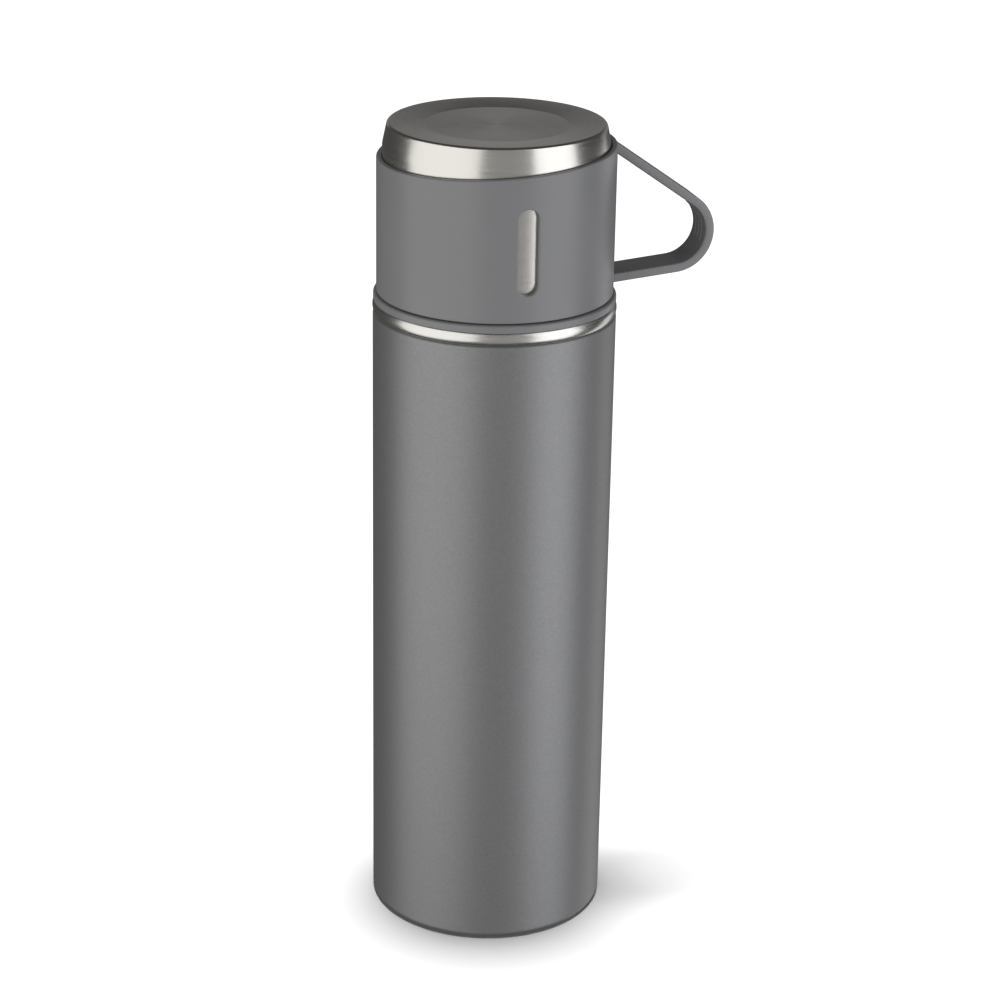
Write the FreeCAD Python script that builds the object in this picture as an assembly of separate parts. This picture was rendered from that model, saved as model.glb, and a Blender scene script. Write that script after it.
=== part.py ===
"""Vacuum flask with a screw-on handled cup and a push-button stopper.

Millimetres, +Z up. The origin is on the flask's axis, in the plane it stands on.
The cup's handle points along +X and the window in its sleeve faces -Y.
"""
import FreeCAD, Part
import math
import os

# ---------------------------------------------------------------- driving dimensions
# Clearances shared by the whole assembly
bond_gap = 0.03          # between pieces that are welded, glued or snapped together
seal_gap = 0.06          # between a seal and the face of another body that it closes on
running_gap = 0.05       # radial, between the valve stem and what it slides in

# Bottle walls
body_radius = 35.0       # outside of the painted wall
body_height = 186.9      # top of the painted wall
outer_wall = 0.5
liner_wall = 0.4
vacuum_gap = 2.4         # between the two walls
base_edge_radius = 2.0
shoulder_radius = 0.8
neck_root_radius = 1.0
base_ring_width = 4.6    # standing ring, from the body radius inwards
base_recess = 2.0        # how far the base disc sits above the ground
base_flange_height = 4.0
base_flange_bend = 1.2
liner_floor_height = 7.0
liner_base_height = 5.0  # height of the liner's welded bottom dish
liner_base_bend = 4.0

# Neck: its radii follow from the cup that screws on round it
neck_gap = 1.3           # vacuum between the neck's two walls
neck_height = 18.1       # above the shoulder
liner_shoulder_drop = 13.0   # the liner's funnel starts this far below the shoulder
liner_shoulder_height = 9.5
liner_funnel_bend = 6.0
liner_neck_bend = 4.0
lip_bend = 0.5

# Evacuation fittings on the base disc
dimple_radius = 6.0
dimple_rise = 1.5
dimple_bend = 1.0
vent_radius = 0.6
solder_head_radius = 2.7
solder_head_height = 0.9
solder_head_edge = 0.8
solder_stem_rise = 0.3     # above the base disc
solder_stem_edge = 0.2
getter_radius = 3.0
getter_height = 2.0
getter_offset = 18.0
clip_sheet = 0.4
clip_length = 12.0
clip_width = 7.0
clip_ear_height = 2.0
foil_thickness = 0.12
foil_margin = 5.0        # bare liner above and below the foil

# Steel band and neck collar
band_height = 3.5
band_sheet = 0.6
band_bulge = 0.5         # how far the middle stands out beyond the band's edges
band_overhang = 0.1      # how far the bulge stands out beyond the painted wall
collar_ring_height = 2.25
collar_ring_inset = 0.1
collar_boss_wall = 3.15
collar_boss_drop = 0.9   # from the neck's lip down to the top of the boss
collar_boss_foot = 1.0   # how far the boss thickens inside, below the ring
collar_chamfer = 1.2
collar_small_edge = 0.3
collar_boss_edge = 0.5
collar_boss_root = 0.4
collar_ring_edge = 0.7
collar_skirt_wall = 1.4
collar_gasket_height = 0.5
collar_gasket_inset = 1.3    # from the neck
collar_gasket_reach = 0.9    # beyond the boss

# Cup
cup_gap = 0.3            # visible line between the collar and the sleeve
sleeve_inset = 1.0       # from the painted wall's radius to the sleeve's
sleeve_wall = 1.55
rim_slope = 3.67         # degrees; the rim is highest over the handle
cup_wall = 0.5
cup_bonding_gap = 0.1
cup_height = 48.9        # from the sleeve's foot to the top edge
cup_exposed_height = 7.7     # steel above the sleeve's slanting rim, measured on the axis
cup_taper_height = 6.4
cup_taper = 1.35
cup_crown_bend = 8.0
cup_dish_radius = 19.0
cup_dish_depth = 0.75
cup_dish_bend = 5.0
cup_edge_radius = 0.9
sleeve_ledge_height = 0.55
sleeve_ledge_width = 0.85
sleeve_ledge_edge = 0.15
sleeve_foot_edge = 0.4
sleeve_rim_edge = 0.465

# Window in the sleeve
window_width = 5.6
window_height = 24.4
window_drop = 0.6        # of its middle, below the middle of the sleeve's height
window_lip_radius = 0.5

# Handle
handle_width = 11.5
handle_thickness = 2.65
handle_projection = 30.0     # from the sleeve to the outside of the bend
handle_bend_radius = 12.0
handle_bend_height = 15.0    # bend centre above the sleeve's foot
handle_root_drop = 1.1       # from the rim down to the upper arm's outer line, at the wall
handle_root_rise = 1.2       # from the sleeve's foot up to the lower arm's outer line
handle_edge_radius = 0.5
grip_rib_count = 3
grip_rib_width = 0.7
grip_rib_height = 0.3
grip_rib_spacing = 2.6
grip_rib_sweep = 80.0
grip_rib_lift = 15.0         # degrees, of the ribs' middle above the horizontal
grip_rib_sink = 0.3

# Cup thread: three short lugs on the collar, three in the cup
cup_lead = 12.0
cup_thread_depth = 1.0
cup_thread_play = 0.4        # radial, crest to root
cup_lug_width = 1.9
cup_lug_sweep = 80.0
cup_ring_wall = 3.04
cup_ring_height = 9.5
cup_thread_rise = 4.0        # from the sleeve's foot to where the collar's lugs begin
cup_gasket_height = 1.45
cup_gasket_margin = 0.4      # thread ring left beside the gasket's groove

# Stopper thread
stopper_lead = 9.0
stopper_thread_depth = 1.0
stopper_thread_play = 0.4
stopper_lug_width = 1.5
stopper_lug_sweep = 80.0
stopper_thread_rise = 6.6    # from the plug's foot to where the neck's lugs begin
thread_starts = 3
flank_taper = 0.8            # a lug is narrower at its crest by this share of its depth
lug_root_sink = 0.25         # how deep a lug is rooted in its wall

# Stopper
stopper_head_gap = 1.28      # to the cup's lugs, which pass it
stopper_head_height = 10.75
stopper_head_wall = 2.0
stopper_head_foot_edge = 0.5
stopper_head_top_edge = 1.2
stopper_hollow_bend = 0.5
stopper_plug_length = 15.0   # below the neck's lip
stopper_skirt_wall = 2.0
stopper_skirt_edge = 0.6
stopper_skirt_root = 0.3
stopper_gasket_height = 0.66
stopper_gasket_inset = 0.5   # from the skirt
stopper_gasket_margin = 0.2  # lip left bare outside it
stopper_web = 2.2
stopper_cover_height = 1.8
stopper_cover_sink = 0.3     # below the head's top
grip_flute_count = 30
grip_flute_radius = 0.7
grip_flute_foot_margin = 1.2
grip_flute_top_margin = 1.8
spout_width = 9.0
spout_height = 3.0

# Push button and valve
flow_gap_width = 2.05        # between the plug's skirt and the button's guide
flow_window_margin = 0.15    # web left on each side of a window in that gap
flow_window_count = 8
button_flange_width = 1.2
button_flange_height = 1.7
button_side_gap = 0.35
button_wall = 1.5
button_edge = 1.0
button_rise = 2.8            # above the stopper's cover
button_travel = 2.5
button_stop_gap = 0.3
button_boss_radius = 4.2
button_boss_edge = 0.3
stem_radius = 2.45
stem_ring_section = 1.1
valve_opening_radius = 8.0
valve_seat_height = 2.0
valve_plug_lap = 1.5         # how far the valve plug reaches past the opening's edge
valve_plug_height = 2.2
valve_plug_foot_edge = 0.8
valve_plug_top_edge = 0.3
valve_seal_height = 0.7
valve_seal_width = 1.7
valve_seal_inset = 0.1
spring_wire_radius = 0.45
spring_wire_sides = 8        # the wire's section is a plain octagon
spring_turns = 4.5

# ---------------------------------------------------------------- derived places
# Radii, from the outside in
liner_radius = body_radius - outer_wall - vacuum_gap
base_seat_radius = body_radius - base_ring_width
sleeve_radius = body_radius - sleeve_inset
cup_radius = sleeve_radius - sleeve_wall - cup_bonding_gap
cup_bore_radius = cup_radius - cup_wall
cup_ring_bore = cup_bore_radius - bond_gap - cup_ring_wall
collar_boss_radius = cup_ring_bore - cup_thread_depth - cup_thread_play
cup_lug_crest = collar_boss_radius + cup_thread_play
neck_radius = collar_boss_radius - collar_boss_wall - bond_gap
neck_liner_radius = neck_radius - outer_wall - neck_gap
neck_bore_radius = neck_liner_radius - liner_wall
stopper_head_radius = cup_lug_crest - stopper_head_gap
stopper_skirt_radius = neck_bore_radius - stopper_thread_depth - stopper_thread_play
stopper_skirt_bore = stopper_skirt_radius - stopper_skirt_wall
inner_wall_radius = stopper_skirt_bore - flow_gap_width
button_bore = inner_wall_radius - stopper_head_wall
button_flange_radius = button_bore - button_side_gap
button_radius = button_flange_radius - button_flange_width
spring_radius = (button_boss_radius + button_radius - button_wall) / 2
valve_plug_radius = valve_opening_radius + valve_plug_lap

# Heights, from the ground up
collar_foot = body_height + collar_gasket_height + 2 * bond_gap
collar_ring_bottom = body_height + band_height + 5 * bond_gap
collar_ring_top = collar_ring_bottom + collar_ring_height
cup_foot = collar_ring_top + cup_gap
cup_rim = cup_foot + sleeve_ledge_height + bond_gap
cup_top = cup_foot + cup_height
cup_gasket_foot = collar_ring_top + seal_gap
cup_thread_foot = cup_foot + cup_thread_rise
sleeve_height = cup_height - cup_exposed_height
sleeve_wall_top = sleeve_height + sleeve_radius * math.tan(math.radians(rim_slope))
window_middle = cup_foot + sleeve_height / 2 - window_drop
lip_height = body_height + neck_height
stopper_foot = lip_height - stopper_plug_length
stopper_thread_foot = stopper_foot + stopper_thread_rise
stopper_head_foot = lip_height + stopper_gasket_height + 2 * seal_gap
web_top = stopper_head_foot + stopper_web
head_top = stopper_head_foot + stopper_head_height
cover_foot = head_top - stopper_cover_height
button_top = head_top + button_rise
button_flange_top = cover_foot - button_stop_gap
valve_plug_top = stopper_foot - seal_gap - valve_seal_height - bond_gap


# ---------------------------------------------------------------- shape helpers
def vector(x, z, y=0.0):
    return FreeCAD.Vector(x, y, z)


def rounded_wire(corners):
    """Closed wire in the XZ plane through (x, z, radius) corners, rounded by tangent arcs."""
    points = [vector(x, z) for x, z, _ in corners]
    starts, arcs, ends = [], [], []
    for index, point in enumerate(points):
        radius = corners[index][2]
        back = (points[index - 1] - point).normalize()
        ahead = (points[(index + 1) % len(points)] - point).normalize()
        if radius <= 0:
            starts.append(point)
            ends.append(point)
            arcs.append(None)
            continue
        half_angle = back.getAngle(ahead) / 2
        reach = radius / math.tan(half_angle)
        middle = (back + ahead).normalize() * (radius / math.sin(half_angle) - radius)
        starts.append(point + back * reach)
        ends.append(point + ahead * reach)
        arcs.append(Part.Arc(starts[-1], point + middle, ends[-1]).toShape())
    edges = []
    for index, arc in enumerate(arcs):
        if ends[index - 1].distanceToPoint(starts[index]) > 1e-6:
            edges.append(Part.makeLine(ends[index - 1], starts[index]))
        if arc:
            edges.append(arc)
    return Part.Wire(edges)


def turned(corners):
    """Solid of revolution about Z of a closed outline of (radius, z, corner radius)."""
    face = Part.Face(rounded_wire(corners))
    return face.revolve(vector(0, 0), vector(0, 1), 360)


def bent_sheet(path, thickness):
    """Closed outline of a sheet: the open path, and the path moved to its left."""
    points = [vector(x, z) for x, z, _ in path]
    lefts = []
    for first, second in zip(points, points[1:]):
        ahead = (second - first).normalize()
        lefts.append(vector(-ahead.z, ahead.x))
    moved = []
    for index, (point, corner) in enumerate(zip(points, path)):
        before = lefts[max(index - 1, 0)]
        after = lefts[min(index, len(lefts) - 1)]
        shift = (before + after) * (thickness / (1 + before.dot(after)))
        turn = before.x * after.z - before.z * after.x
        radius = corner[2] + (thickness if turn < 0 else -thickness) if corner[2] else 0
        moved.append((point.x + shift.x, point.z + shift.z, max(radius, 0)))
    return path + moved[::-1]


def ring(inner, outer, bottom, top, edge=0.0):
    """Plain ring of rectangular section, with its outer edges rounded by edge."""
    return turned([(inner, bottom, 0), (outer, bottom, edge), (outer, top, edge), (inner, top, 0)])


def disc(radius, bottom, top):
    return Part.makeCylinder(radius, top - bottom, vector(0, bottom))


def around(shape, count, first_angle=0.0):
    """Copies of the shape, evenly spaced about the axis."""
    copies = []
    for index in range(count):
        copy = shape.copy()
        copy.rotate(vector(0, 0), vector(0, 1), first_angle + 360 * index / count)
        copies.append(copy)
    return copies


def thread_lugs(root, crest, lead, width, sweep, middle):
    """Blunt screw-thread lugs of trapezoid section from the root radius to the crest radius.

    middle is the height of the lugs' middle line where they begin.
    """
    depth = crest - root
    sunk_root = root - math.copysign(lug_root_sink, depth)
    sunk_width = width + flank_taper * lug_root_sink
    crest_width = width - flank_taper * abs(depth)
    # The flanks run straight on into the wall: an edge lying in the wall's face would lose the lug
    section = Part.makePolygon([
        vector(sunk_root, -sunk_width / 2), vector(crest, -crest_width / 2),
        vector(crest, crest_width / 2), vector(sunk_root, sunk_width / 2),
        vector(sunk_root, -sunk_width / 2),
    ])
    helix = Part.makeHelix(lead, lead * sweep / 360, root)
    lug = Part.Wire(helix.Edges).makePipeShell([section], True, True)
    lug.translate(vector(0, middle))
    return around(lug, thread_starts)


def thread_step(width, depth, play, lead):
    """Axial distance between the middle lines of two mating lugs, half the free play apart."""
    overlap = depth - play
    facing_width = width - flank_taper * (depth - overlap / 2)
    spare = lead / thread_starts - 2 * facing_width
    return facing_width + spare / 2


# ---------------------------------------------------------------- bottle
def make_outer_shell():
    path = [
        (base_seat_radius, base_flange_height, 0),
        (base_seat_radius, 0, 2 * outer_wall),
        (body_radius, 0, base_edge_radius),
        (body_radius, body_height, shoulder_radius),
        (neck_radius, body_height, neck_root_radius),
        (neck_radius, lip_height - liner_wall - bond_gap, 0),
    ]
    return turned(bent_sheet(path, outer_wall))


def make_outer_base():
    top = base_recess + dimple_rise
    seat = base_seat_radius - bond_gap
    path = [
        (vent_radius, top, 0),
        (dimple_radius, top, dimple_bend),
        (dimple_radius + dimple_rise, base_recess, dimple_bend),
        (seat, base_recess, base_flange_bend),
        (seat, base_flange_height, 0),
    ]
    return turned(bent_sheet(path, outer_wall))


def make_vacuum_plug():
    """Bead of solder that closes the vent in the middle of the base's dimple."""
    seat = base_recess + dimple_rise - bond_gap
    stem = vent_radius - bond_gap
    foot = seat - solder_head_height
    top = seat + outer_wall + solder_stem_rise
    return turned([
        (0, foot, 0), (solder_head_radius, foot, solder_head_edge), (solder_head_radius, seat, 0),
        (stem, seat, 0), (stem, top, solder_stem_edge), (0, top, 0),
    ])


def make_getter_clip():
    foot = base_recess + outer_wall + bond_gap
    plate_corner = vector(getter_offset - clip_length / 2, foot, -clip_width / 2)
    plate = Part.makeBox(clip_length, clip_width, clip_sheet, plate_corner)
    ears = []
    for side in (-1, 1):
        middle = getter_offset + side * (getter_radius + bond_gap + clip_sheet / 2)
        corner = vector(middle - clip_sheet / 2, foot, -clip_width / 2)
        ears.append(Part.makeBox(clip_sheet, clip_width, clip_ear_height, corner))
    return plate.fuse(ears).removeSplitter()


def make_getter():
    foot = base_recess + outer_wall + clip_sheet + 2 * bond_gap
    return Part.makeCylinder(getter_radius, getter_height, vector(getter_offset, foot))


def make_liner_base():
    path = [
        (0, liner_floor_height, 0),
        (liner_radius, liner_floor_height, liner_base_bend),
        (liner_radius, liner_floor_height + liner_base_height, 0),
    ]
    return turned(bent_sheet(path, liner_wall))


def make_inner_liner():
    funnel_foot = body_height - liner_shoulder_drop
    path = [
        (liner_radius, liner_floor_height + liner_base_height + bond_gap, 0),
        (liner_radius, funnel_foot, liner_funnel_bend),
        (neck_liner_radius, funnel_foot + liner_shoulder_height, liner_neck_bend),
        (neck_liner_radius, lip_height - liner_wall, lip_bend),
        (neck_radius, lip_height - liner_wall, 0),
    ]
    tube = turned(bent_sheet(path, liner_wall))
    lugs = thread_lugs(neck_bore_radius, neck_bore_radius - stopper_thread_depth, stopper_lead,
                       stopper_lug_width, stopper_lug_sweep, stopper_thread_foot)
    return tube.fuse(lugs).removeSplitter()


def make_foil_wrap():
    inner = liner_radius + bond_gap
    bottom = liner_floor_height + liner_base_height + foil_margin
    top = body_height - liner_shoulder_drop - foil_margin
    return ring(inner, inner + foil_thickness, bottom, top)


# ---------------------------------------------------------------- band and collar
def make_trim_band():
    bottom = body_height + bond_gap
    top = bottom + band_height
    middle = (bottom + top) / 2
    edge = body_radius + band_overhang - band_bulge
    outer = Part.Arc(vector(edge, bottom), vector(edge + band_bulge, middle), vector(edge, top))
    inner_edge = edge - band_sheet
    inner = Part.Arc(vector(inner_edge, bottom), vector(inner_edge + band_bulge, middle),
                     vector(inner_edge, top))
    ends = [Part.makeLine(vector(inner_edge, height), vector(edge, height))
            for height in (bottom, top)]
    section = Part.Wire(Part.__sortEdges__([outer.toShape(), inner.toShape()] + ends))
    return Part.Face(section).revolve(vector(0, 0), vector(0, 1), 360)


def make_neck_collar():
    bore = neck_radius + bond_gap
    ring_radius = body_radius - collar_ring_inset
    skirt = body_radius + band_overhang - band_bulge - band_sheet - bond_gap
    boss_foot = collar_boss_radius + collar_boss_foot
    body = turned([
        (bore + collar_chamfer, collar_foot, 0), (bore, collar_foot + collar_chamfer, 0),
        (bore, lip_height - collar_boss_drop, collar_small_edge),
        (collar_boss_radius, lip_height - collar_boss_drop, collar_boss_edge),
        (collar_boss_radius, collar_ring_top, collar_boss_root),
        (ring_radius, collar_ring_top, collar_ring_edge),
        (ring_radius, collar_ring_bottom, collar_small_edge), (skirt, collar_ring_bottom, 0),
        (skirt, body_height + bond_gap, 0), (skirt - collar_skirt_wall, body_height + bond_gap, 0),
        (skirt - collar_skirt_wall, collar_ring_bottom, 0), (boss_foot, collar_ring_bottom, 0),
        (boss_foot, collar_foot, 0),
    ])
    lugs = thread_lugs(collar_boss_radius, collar_boss_radius + cup_thread_depth, cup_lead,
                       cup_lug_width, cup_lug_sweep, cup_thread_foot)
    return body.fuse(lugs).removeSplitter()


def make_collar_gasket():
    bottom = body_height + bond_gap
    return ring(neck_radius + collar_gasket_inset, collar_boss_radius + collar_gasket_reach,
                bottom, bottom + collar_gasket_height)


# ---------------------------------------------------------------- cup
def make_steel_cup():
    edge_radius = cup_radius - cup_taper
    path = [
        (cup_radius, cup_rim, 0),
        (cup_radius, cup_top - cup_taper_height, cup_crown_bend),
        (edge_radius, cup_top, cup_edge_radius),
        (cup_dish_radius, cup_top - cup_dish_depth, cup_dish_bend),
        (0, cup_top - cup_dish_depth, 0),
    ]
    return turned(bent_sheet(path, cup_wall))


def make_cup_thread_ring():
    bottom = cup_rim
    top = bottom + cup_ring_height
    outer = cup_bore_radius - bond_gap
    groove_top = cup_gasket_foot + cup_gasket_height + bond_gap
    body = ring(cup_ring_bore, outer, bottom, top)
    groove = ring(cup_ring_bore + cup_gasket_margin, outer - cup_gasket_margin, bottom - 1, groove_top)
    step = thread_step(cup_lug_width, cup_thread_depth, cup_thread_play, cup_lead)
    lugs = thread_lugs(cup_ring_bore, cup_lug_crest, cup_lead, cup_lug_width, cup_lug_sweep,
                       cup_thread_foot - step)
    return body.fuse(lugs).cut(groove).removeSplitter()


def make_cup_gasket():
    margin = cup_gasket_margin + bond_gap
    return ring(cup_ring_bore + margin, cup_bore_radius - bond_gap - margin,
                cup_gasket_foot, cup_gasket_foot + cup_gasket_height)


def handle_outline():
    """Closed side outline of the strap: two straight arms tangent to one bend."""
    centre = vector(sleeve_radius + handle_projection - handle_bend_radius, cup_foot + handle_bend_height)
    inner_scale = (handle_bend_radius - handle_thickness) / handle_bend_radius
    root_x = sleeve_radius - sleeve_wall / 2
    outer, inner = [], []
    for height, side in ((sleeve_wall_top - handle_root_drop, 1), (handle_root_rise, -1)):
        wall_point = vector(sleeve_radius, cup_foot + height)
        to_centre = centre - wall_point
        opening = math.asin(handle_bend_radius / to_centre.Length)
        heading = math.atan2(to_centre.z, to_centre.x) + side * opening
        normal = vector(-math.sin(heading), math.cos(heading)) * side
        tangent = centre + normal * handle_bend_radius
        ahead = vector(math.cos(heading), math.sin(heading))
        root = wall_point - ahead * ((wall_point.x - root_x) / ahead.x)
        inner_root = root - normal * handle_thickness
        inner_root += ahead * ((root_x - inner_root.x) / ahead.x)
        outer.append((root, tangent))
        inner.append((inner_root, centre + normal * handle_bend_radius * inner_scale))
    edges = []
    for pair, radius in ((outer, handle_bend_radius), (inner, handle_bend_radius * inner_scale)):
        (top_root, top_tangent), (low_root, low_tangent) = pair
        edges.append(Part.makeLine(top_root, top_tangent))
        edges.append(Part.Arc(top_tangent, centre + vector(radius, 0), low_tangent).toShape())
        edges.append(Part.makeLine(low_tangent, low_root))
    edges.append(Part.makeLine(outer[0][0], inner[0][0]))
    edges.append(Part.makeLine(outer[1][0], inner[1][0]))
    return Part.Wire(Part.__sortEdges__(edges)), centre


def make_grip_ribs(centre):
    """Low ribs along the inside of the bend, where a finger rests."""
    inner = handle_bend_radius - handle_thickness
    foot = centre - FreeCAD.Vector(0, grip_rib_width / 2, 0)
    block = Part.makeCylinder(inner + grip_rib_sink, grip_rib_width, foot, FreeCAD.Vector(0, 1, 0),
                              grip_rib_sweep)
    block = block.cut(Part.makeCylinder(inner - grip_rib_height, 3 * grip_rib_width,
                                        centre - FreeCAD.Vector(0, grip_rib_width, 0),
                                        FreeCAD.Vector(0, 1, 0))).Solids[0]
    block.rotate(centre, FreeCAD.Vector(0, 1, 0), -middle_angle(block, centre) - grip_rib_lift)
    ribs = []
    for index in range(grip_rib_count):
        rib = block.copy()
        rib.translate(FreeCAD.Vector(0, (index - (grip_rib_count - 1) / 2) * grip_rib_spacing, 0))
        ribs.append(rib)
    return ribs


def middle_angle(block, centre):
    """Turn about +Y, in degrees, from +X to the middle of the block."""
    away = block.CenterOfMass - centre
    return math.degrees(math.atan2(-away.z, away.x))


def make_handle():
    outline, centre = handle_outline()
    strap = Part.Face(outline).extrude(FreeCAD.Vector(0, handle_width, 0))
    strap.translate(FreeCAD.Vector(0, -handle_width / 2, 0))
    long_edges = [edge for edge in strap.Edges
                  if abs(abs(edge.CenterOfMass.y) - handle_width / 2) < 1e-6
                  and edge.BoundBox.XMax > sleeve_radius + 1]
    strap = strap.makeFillet(handle_edge_radius, long_edges)
    return strap.fuse(make_grip_ribs(centre)).removeSplitter()


def make_sleeve_tube():
    bore = sleeve_radius - sleeve_wall
    ledge_top = cup_foot + sleeve_ledge_height
    tall = cup_foot + sleeve_height + sleeve_radius
    tube = turned([
        (bore - sleeve_ledge_width, cup_foot, sleeve_ledge_edge),
        (sleeve_radius, cup_foot, sleeve_foot_edge),
        (sleeve_radius, tall, 0), (bore, tall, 0),
        (bore, ledge_top, 0), (bore - sleeve_ledge_width, ledge_top, 0),
    ])
    size = 4 * sleeve_radius     # waste block, larger than the whole sleeve
    waste = Part.makeBox(size, size, size, FreeCAD.Vector(-size / 2, -size / 2, 0))
    waste.rotate(vector(0, 0), FreeCAD.Vector(0, 1, 0), -rim_slope)
    waste.translate(vector(0, cup_foot + sleeve_height))
    tube = tube.cut(waste)
    rim_edges = [edge for edge in tube.Edges if edge.BoundBox.ZMin > cup_foot + sleeve_height / 2
                 and edge.BoundBox.XLength > sleeve_radius]
    return tube.makeFillet(sleeve_rim_edge, rim_edges)


def make_window_cutter():
    """Upright slot with round ends, through the -Y side of the sleeve."""
    half_width = window_width / 2
    half_height = window_height / 2
    outline = rounded_wire([
        (half_width, window_middle + half_height, half_width),
        (-half_width, window_middle + half_height, half_width),
        (-half_width, window_middle - half_height, half_width),
        (half_width, window_middle - half_height, half_width),
    ])
    return Part.Face(outline).extrude(FreeCAD.Vector(0, -2 * sleeve_radius, 0))


def make_cup_sleeve():
    sleeve = make_sleeve_tube().cut(make_window_cutter())
    low = window_middle - window_height
    high = window_middle + window_height
    lip_edges = []
    for edge in sleeve.Edges:
        point = edge.valueAt((edge.FirstParameter + edge.LastParameter) / 2)
        on_outside = abs(math.hypot(point.x, point.y) - sleeve_radius) < 1e-3
        if on_outside and point.y < 0 and low < point.z < high and abs(point.x) < window_width:
            lip_edges.append(edge)
    sleeve = sleeve.makeFillet(window_lip_radius, lip_edges)
    return sleeve.fuse(make_handle()).removeSplitter()


# ---------------------------------------------------------------- stopper
def make_stopper_body():
    head_bore = stopper_head_radius - stopper_head_wall
    stem_bore = stem_radius + running_gap
    body = turned([
        (stem_bore, stopper_head_foot, 0), (stopper_skirt_bore, stopper_head_foot, 0),
        (stopper_skirt_bore, stopper_foot, 0), (stopper_skirt_radius, stopper_foot, stopper_skirt_edge),
        (stopper_skirt_radius, stopper_head_foot, stopper_skirt_root),
        (stopper_head_radius, stopper_head_foot, stopper_head_foot_edge),
        (stopper_head_radius, head_top, stopper_head_top_edge), (head_bore, head_top, 0),
        (head_bore, web_top, stopper_hollow_bend), (inner_wall_radius, web_top, stopper_hollow_bend),
        (inner_wall_radius, cover_foot - bond_gap, 0), (button_bore, cover_foot - bond_gap, 0),
        (button_bore, web_top, stopper_hollow_bend), (stem_bore, web_top, 0),
    ])
    step = thread_step(stopper_lug_width, stopper_thread_depth, stopper_thread_play, stopper_lead)
    lugs = thread_lugs(stopper_skirt_radius, stopper_skirt_radius + stopper_thread_depth, stopper_lead,
                       stopper_lug_width, stopper_lug_sweep, stopper_thread_foot - step)
    body = body.fuse(lugs)
    groove_middle = stopper_head_foot + stopper_web / 2
    groove_reach = stem_ring_section / 2 + bond_gap
    groove = disc(stem_bore + stem_ring_section, groove_middle - groove_reach, groove_middle + groove_reach)
    return body.cut([groove] + spouts() + flow_windows() + grip_flutes()).removeSplitter()


def spouts():
    """Pouring and venting slots through the head's side wall, opposite each other."""
    height = (web_top + cover_foot) / 2
    slot = Part.makeBox(4 * stopper_head_wall, spout_width, spout_height)
    slot.translate(FreeCAD.Vector(stopper_head_radius - 3 * stopper_head_wall, -spout_width / 2,
                                  height - spout_height / 2))
    return around(slot, 2)


def flow_windows():
    """Holes through the web, from the skirt's inside to the head's hollow."""
    middle = (stopper_skirt_bore + inner_wall_radius) / 2
    hole = Part.makeCylinder(flow_gap_width / 2 - flow_window_margin, 2 * stopper_web,
                             vector(middle, stopper_head_foot - stopper_web / 2))
    return around(hole, flow_window_count, 180 / flow_window_count)


def grip_flutes():
    """Shallow upright grooves round the head, left out where the spouts are."""
    height = stopper_head_height - grip_flute_foot_margin - grip_flute_top_margin
    foot = stopper_head_foot + grip_flute_foot_margin
    flute = Part.makeCylinder(grip_flute_radius, height,
                              vector(stopper_head_radius + grip_flute_radius / 2, foot))
    kept = []
    for copy in around(flute, grip_flute_count):
        if abs(copy.CenterOfMass.y) > spout_width / 2 + 2 * grip_flute_radius:
            kept.append(copy)
    return kept


def make_stopper_gasket():
    bottom = lip_height + seal_gap
    return ring(stopper_skirt_radius + stopper_gasket_inset, neck_radius - stopper_gasket_margin,
                bottom, bottom + stopper_gasket_height)


def make_stopper_cover():
    outer = stopper_head_radius - stopper_head_wall - bond_gap
    return ring(button_radius + button_side_gap, outer, cover_foot, head_top - stopper_cover_sink)


def make_valve_seat():
    return ring(valve_opening_radius, stopper_skirt_bore - bond_gap,
                stopper_foot, stopper_foot + valve_seat_height)


def make_stem_ring():
    bottom = stopper_head_foot + (stopper_web - stem_ring_section) / 2
    inner = stem_radius + running_gap
    return ring(inner, inner + stem_ring_section - bond_gap, bottom, bottom + stem_ring_section)


# ---------------------------------------------------------------- button and valve
def make_push_button():
    flange_foot = button_flange_top - button_flange_height
    boss_foot = web_top + button_travel + button_stop_gap
    plate_foot = button_top - button_wall
    bore = button_radius - button_wall
    return turned([
        (stem_radius + bond_gap, boss_foot, 0), (button_boss_radius, boss_foot, button_boss_edge),
        (button_boss_radius, plate_foot, 0), (bore, plate_foot, 0), (bore, flange_foot, 0),
        (button_flange_radius, flange_foot, 0), (button_flange_radius, button_flange_top, 0),
        (button_radius, button_flange_top, 0), (button_radius, button_top, button_edge),
        (0, button_top, 0),
        (0, plate_foot, 0), (stem_radius + bond_gap, plate_foot, 0),
    ])


def make_valve_stem():
    bottom = valve_plug_top - valve_plug_height / 2
    return disc(stem_radius, bottom, button_top - button_wall - bond_gap)


def make_valve_plug():
    top = valve_plug_top
    bore = stem_radius + bond_gap
    return turned([
        (0, top - valve_plug_height, 0),
        (valve_plug_radius, top - valve_plug_height, valve_plug_foot_edge),
        (valve_plug_radius, top, valve_plug_top_edge), (bore, top, 0),
        (bore, top - valve_plug_height / 2 - bond_gap, 0), (0, top - valve_plug_height / 2 - bond_gap, 0),
    ])


def make_valve_seal():
    bottom = valve_plug_top + bond_gap
    outer = valve_plug_radius - valve_seal_inset
    return ring(outer - valve_seal_width, outer, bottom, bottom + valve_seal_height)


def make_button_spring():
    bottom = web_top + bond_gap + spring_wire_radius
    top = button_top - button_wall - bond_gap - spring_wire_radius
    helix = Part.makeHelix((top - bottom) / spring_turns, top - bottom, spring_radius)
    corners = []
    for index in range(spring_wire_sides + 1):
        angle = 2 * math.pi * (index + 0.5) / spring_wire_sides
        corners.append(vector(spring_radius + spring_wire_radius * math.cos(angle),
                              spring_wire_radius * math.sin(angle)))
    section = Part.makePolygon(corners)
    coil = Part.Wire(helix.Edges).makePipeShell([section], True, True)
    coil.translate(vector(0, bottom))
    return coil


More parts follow.
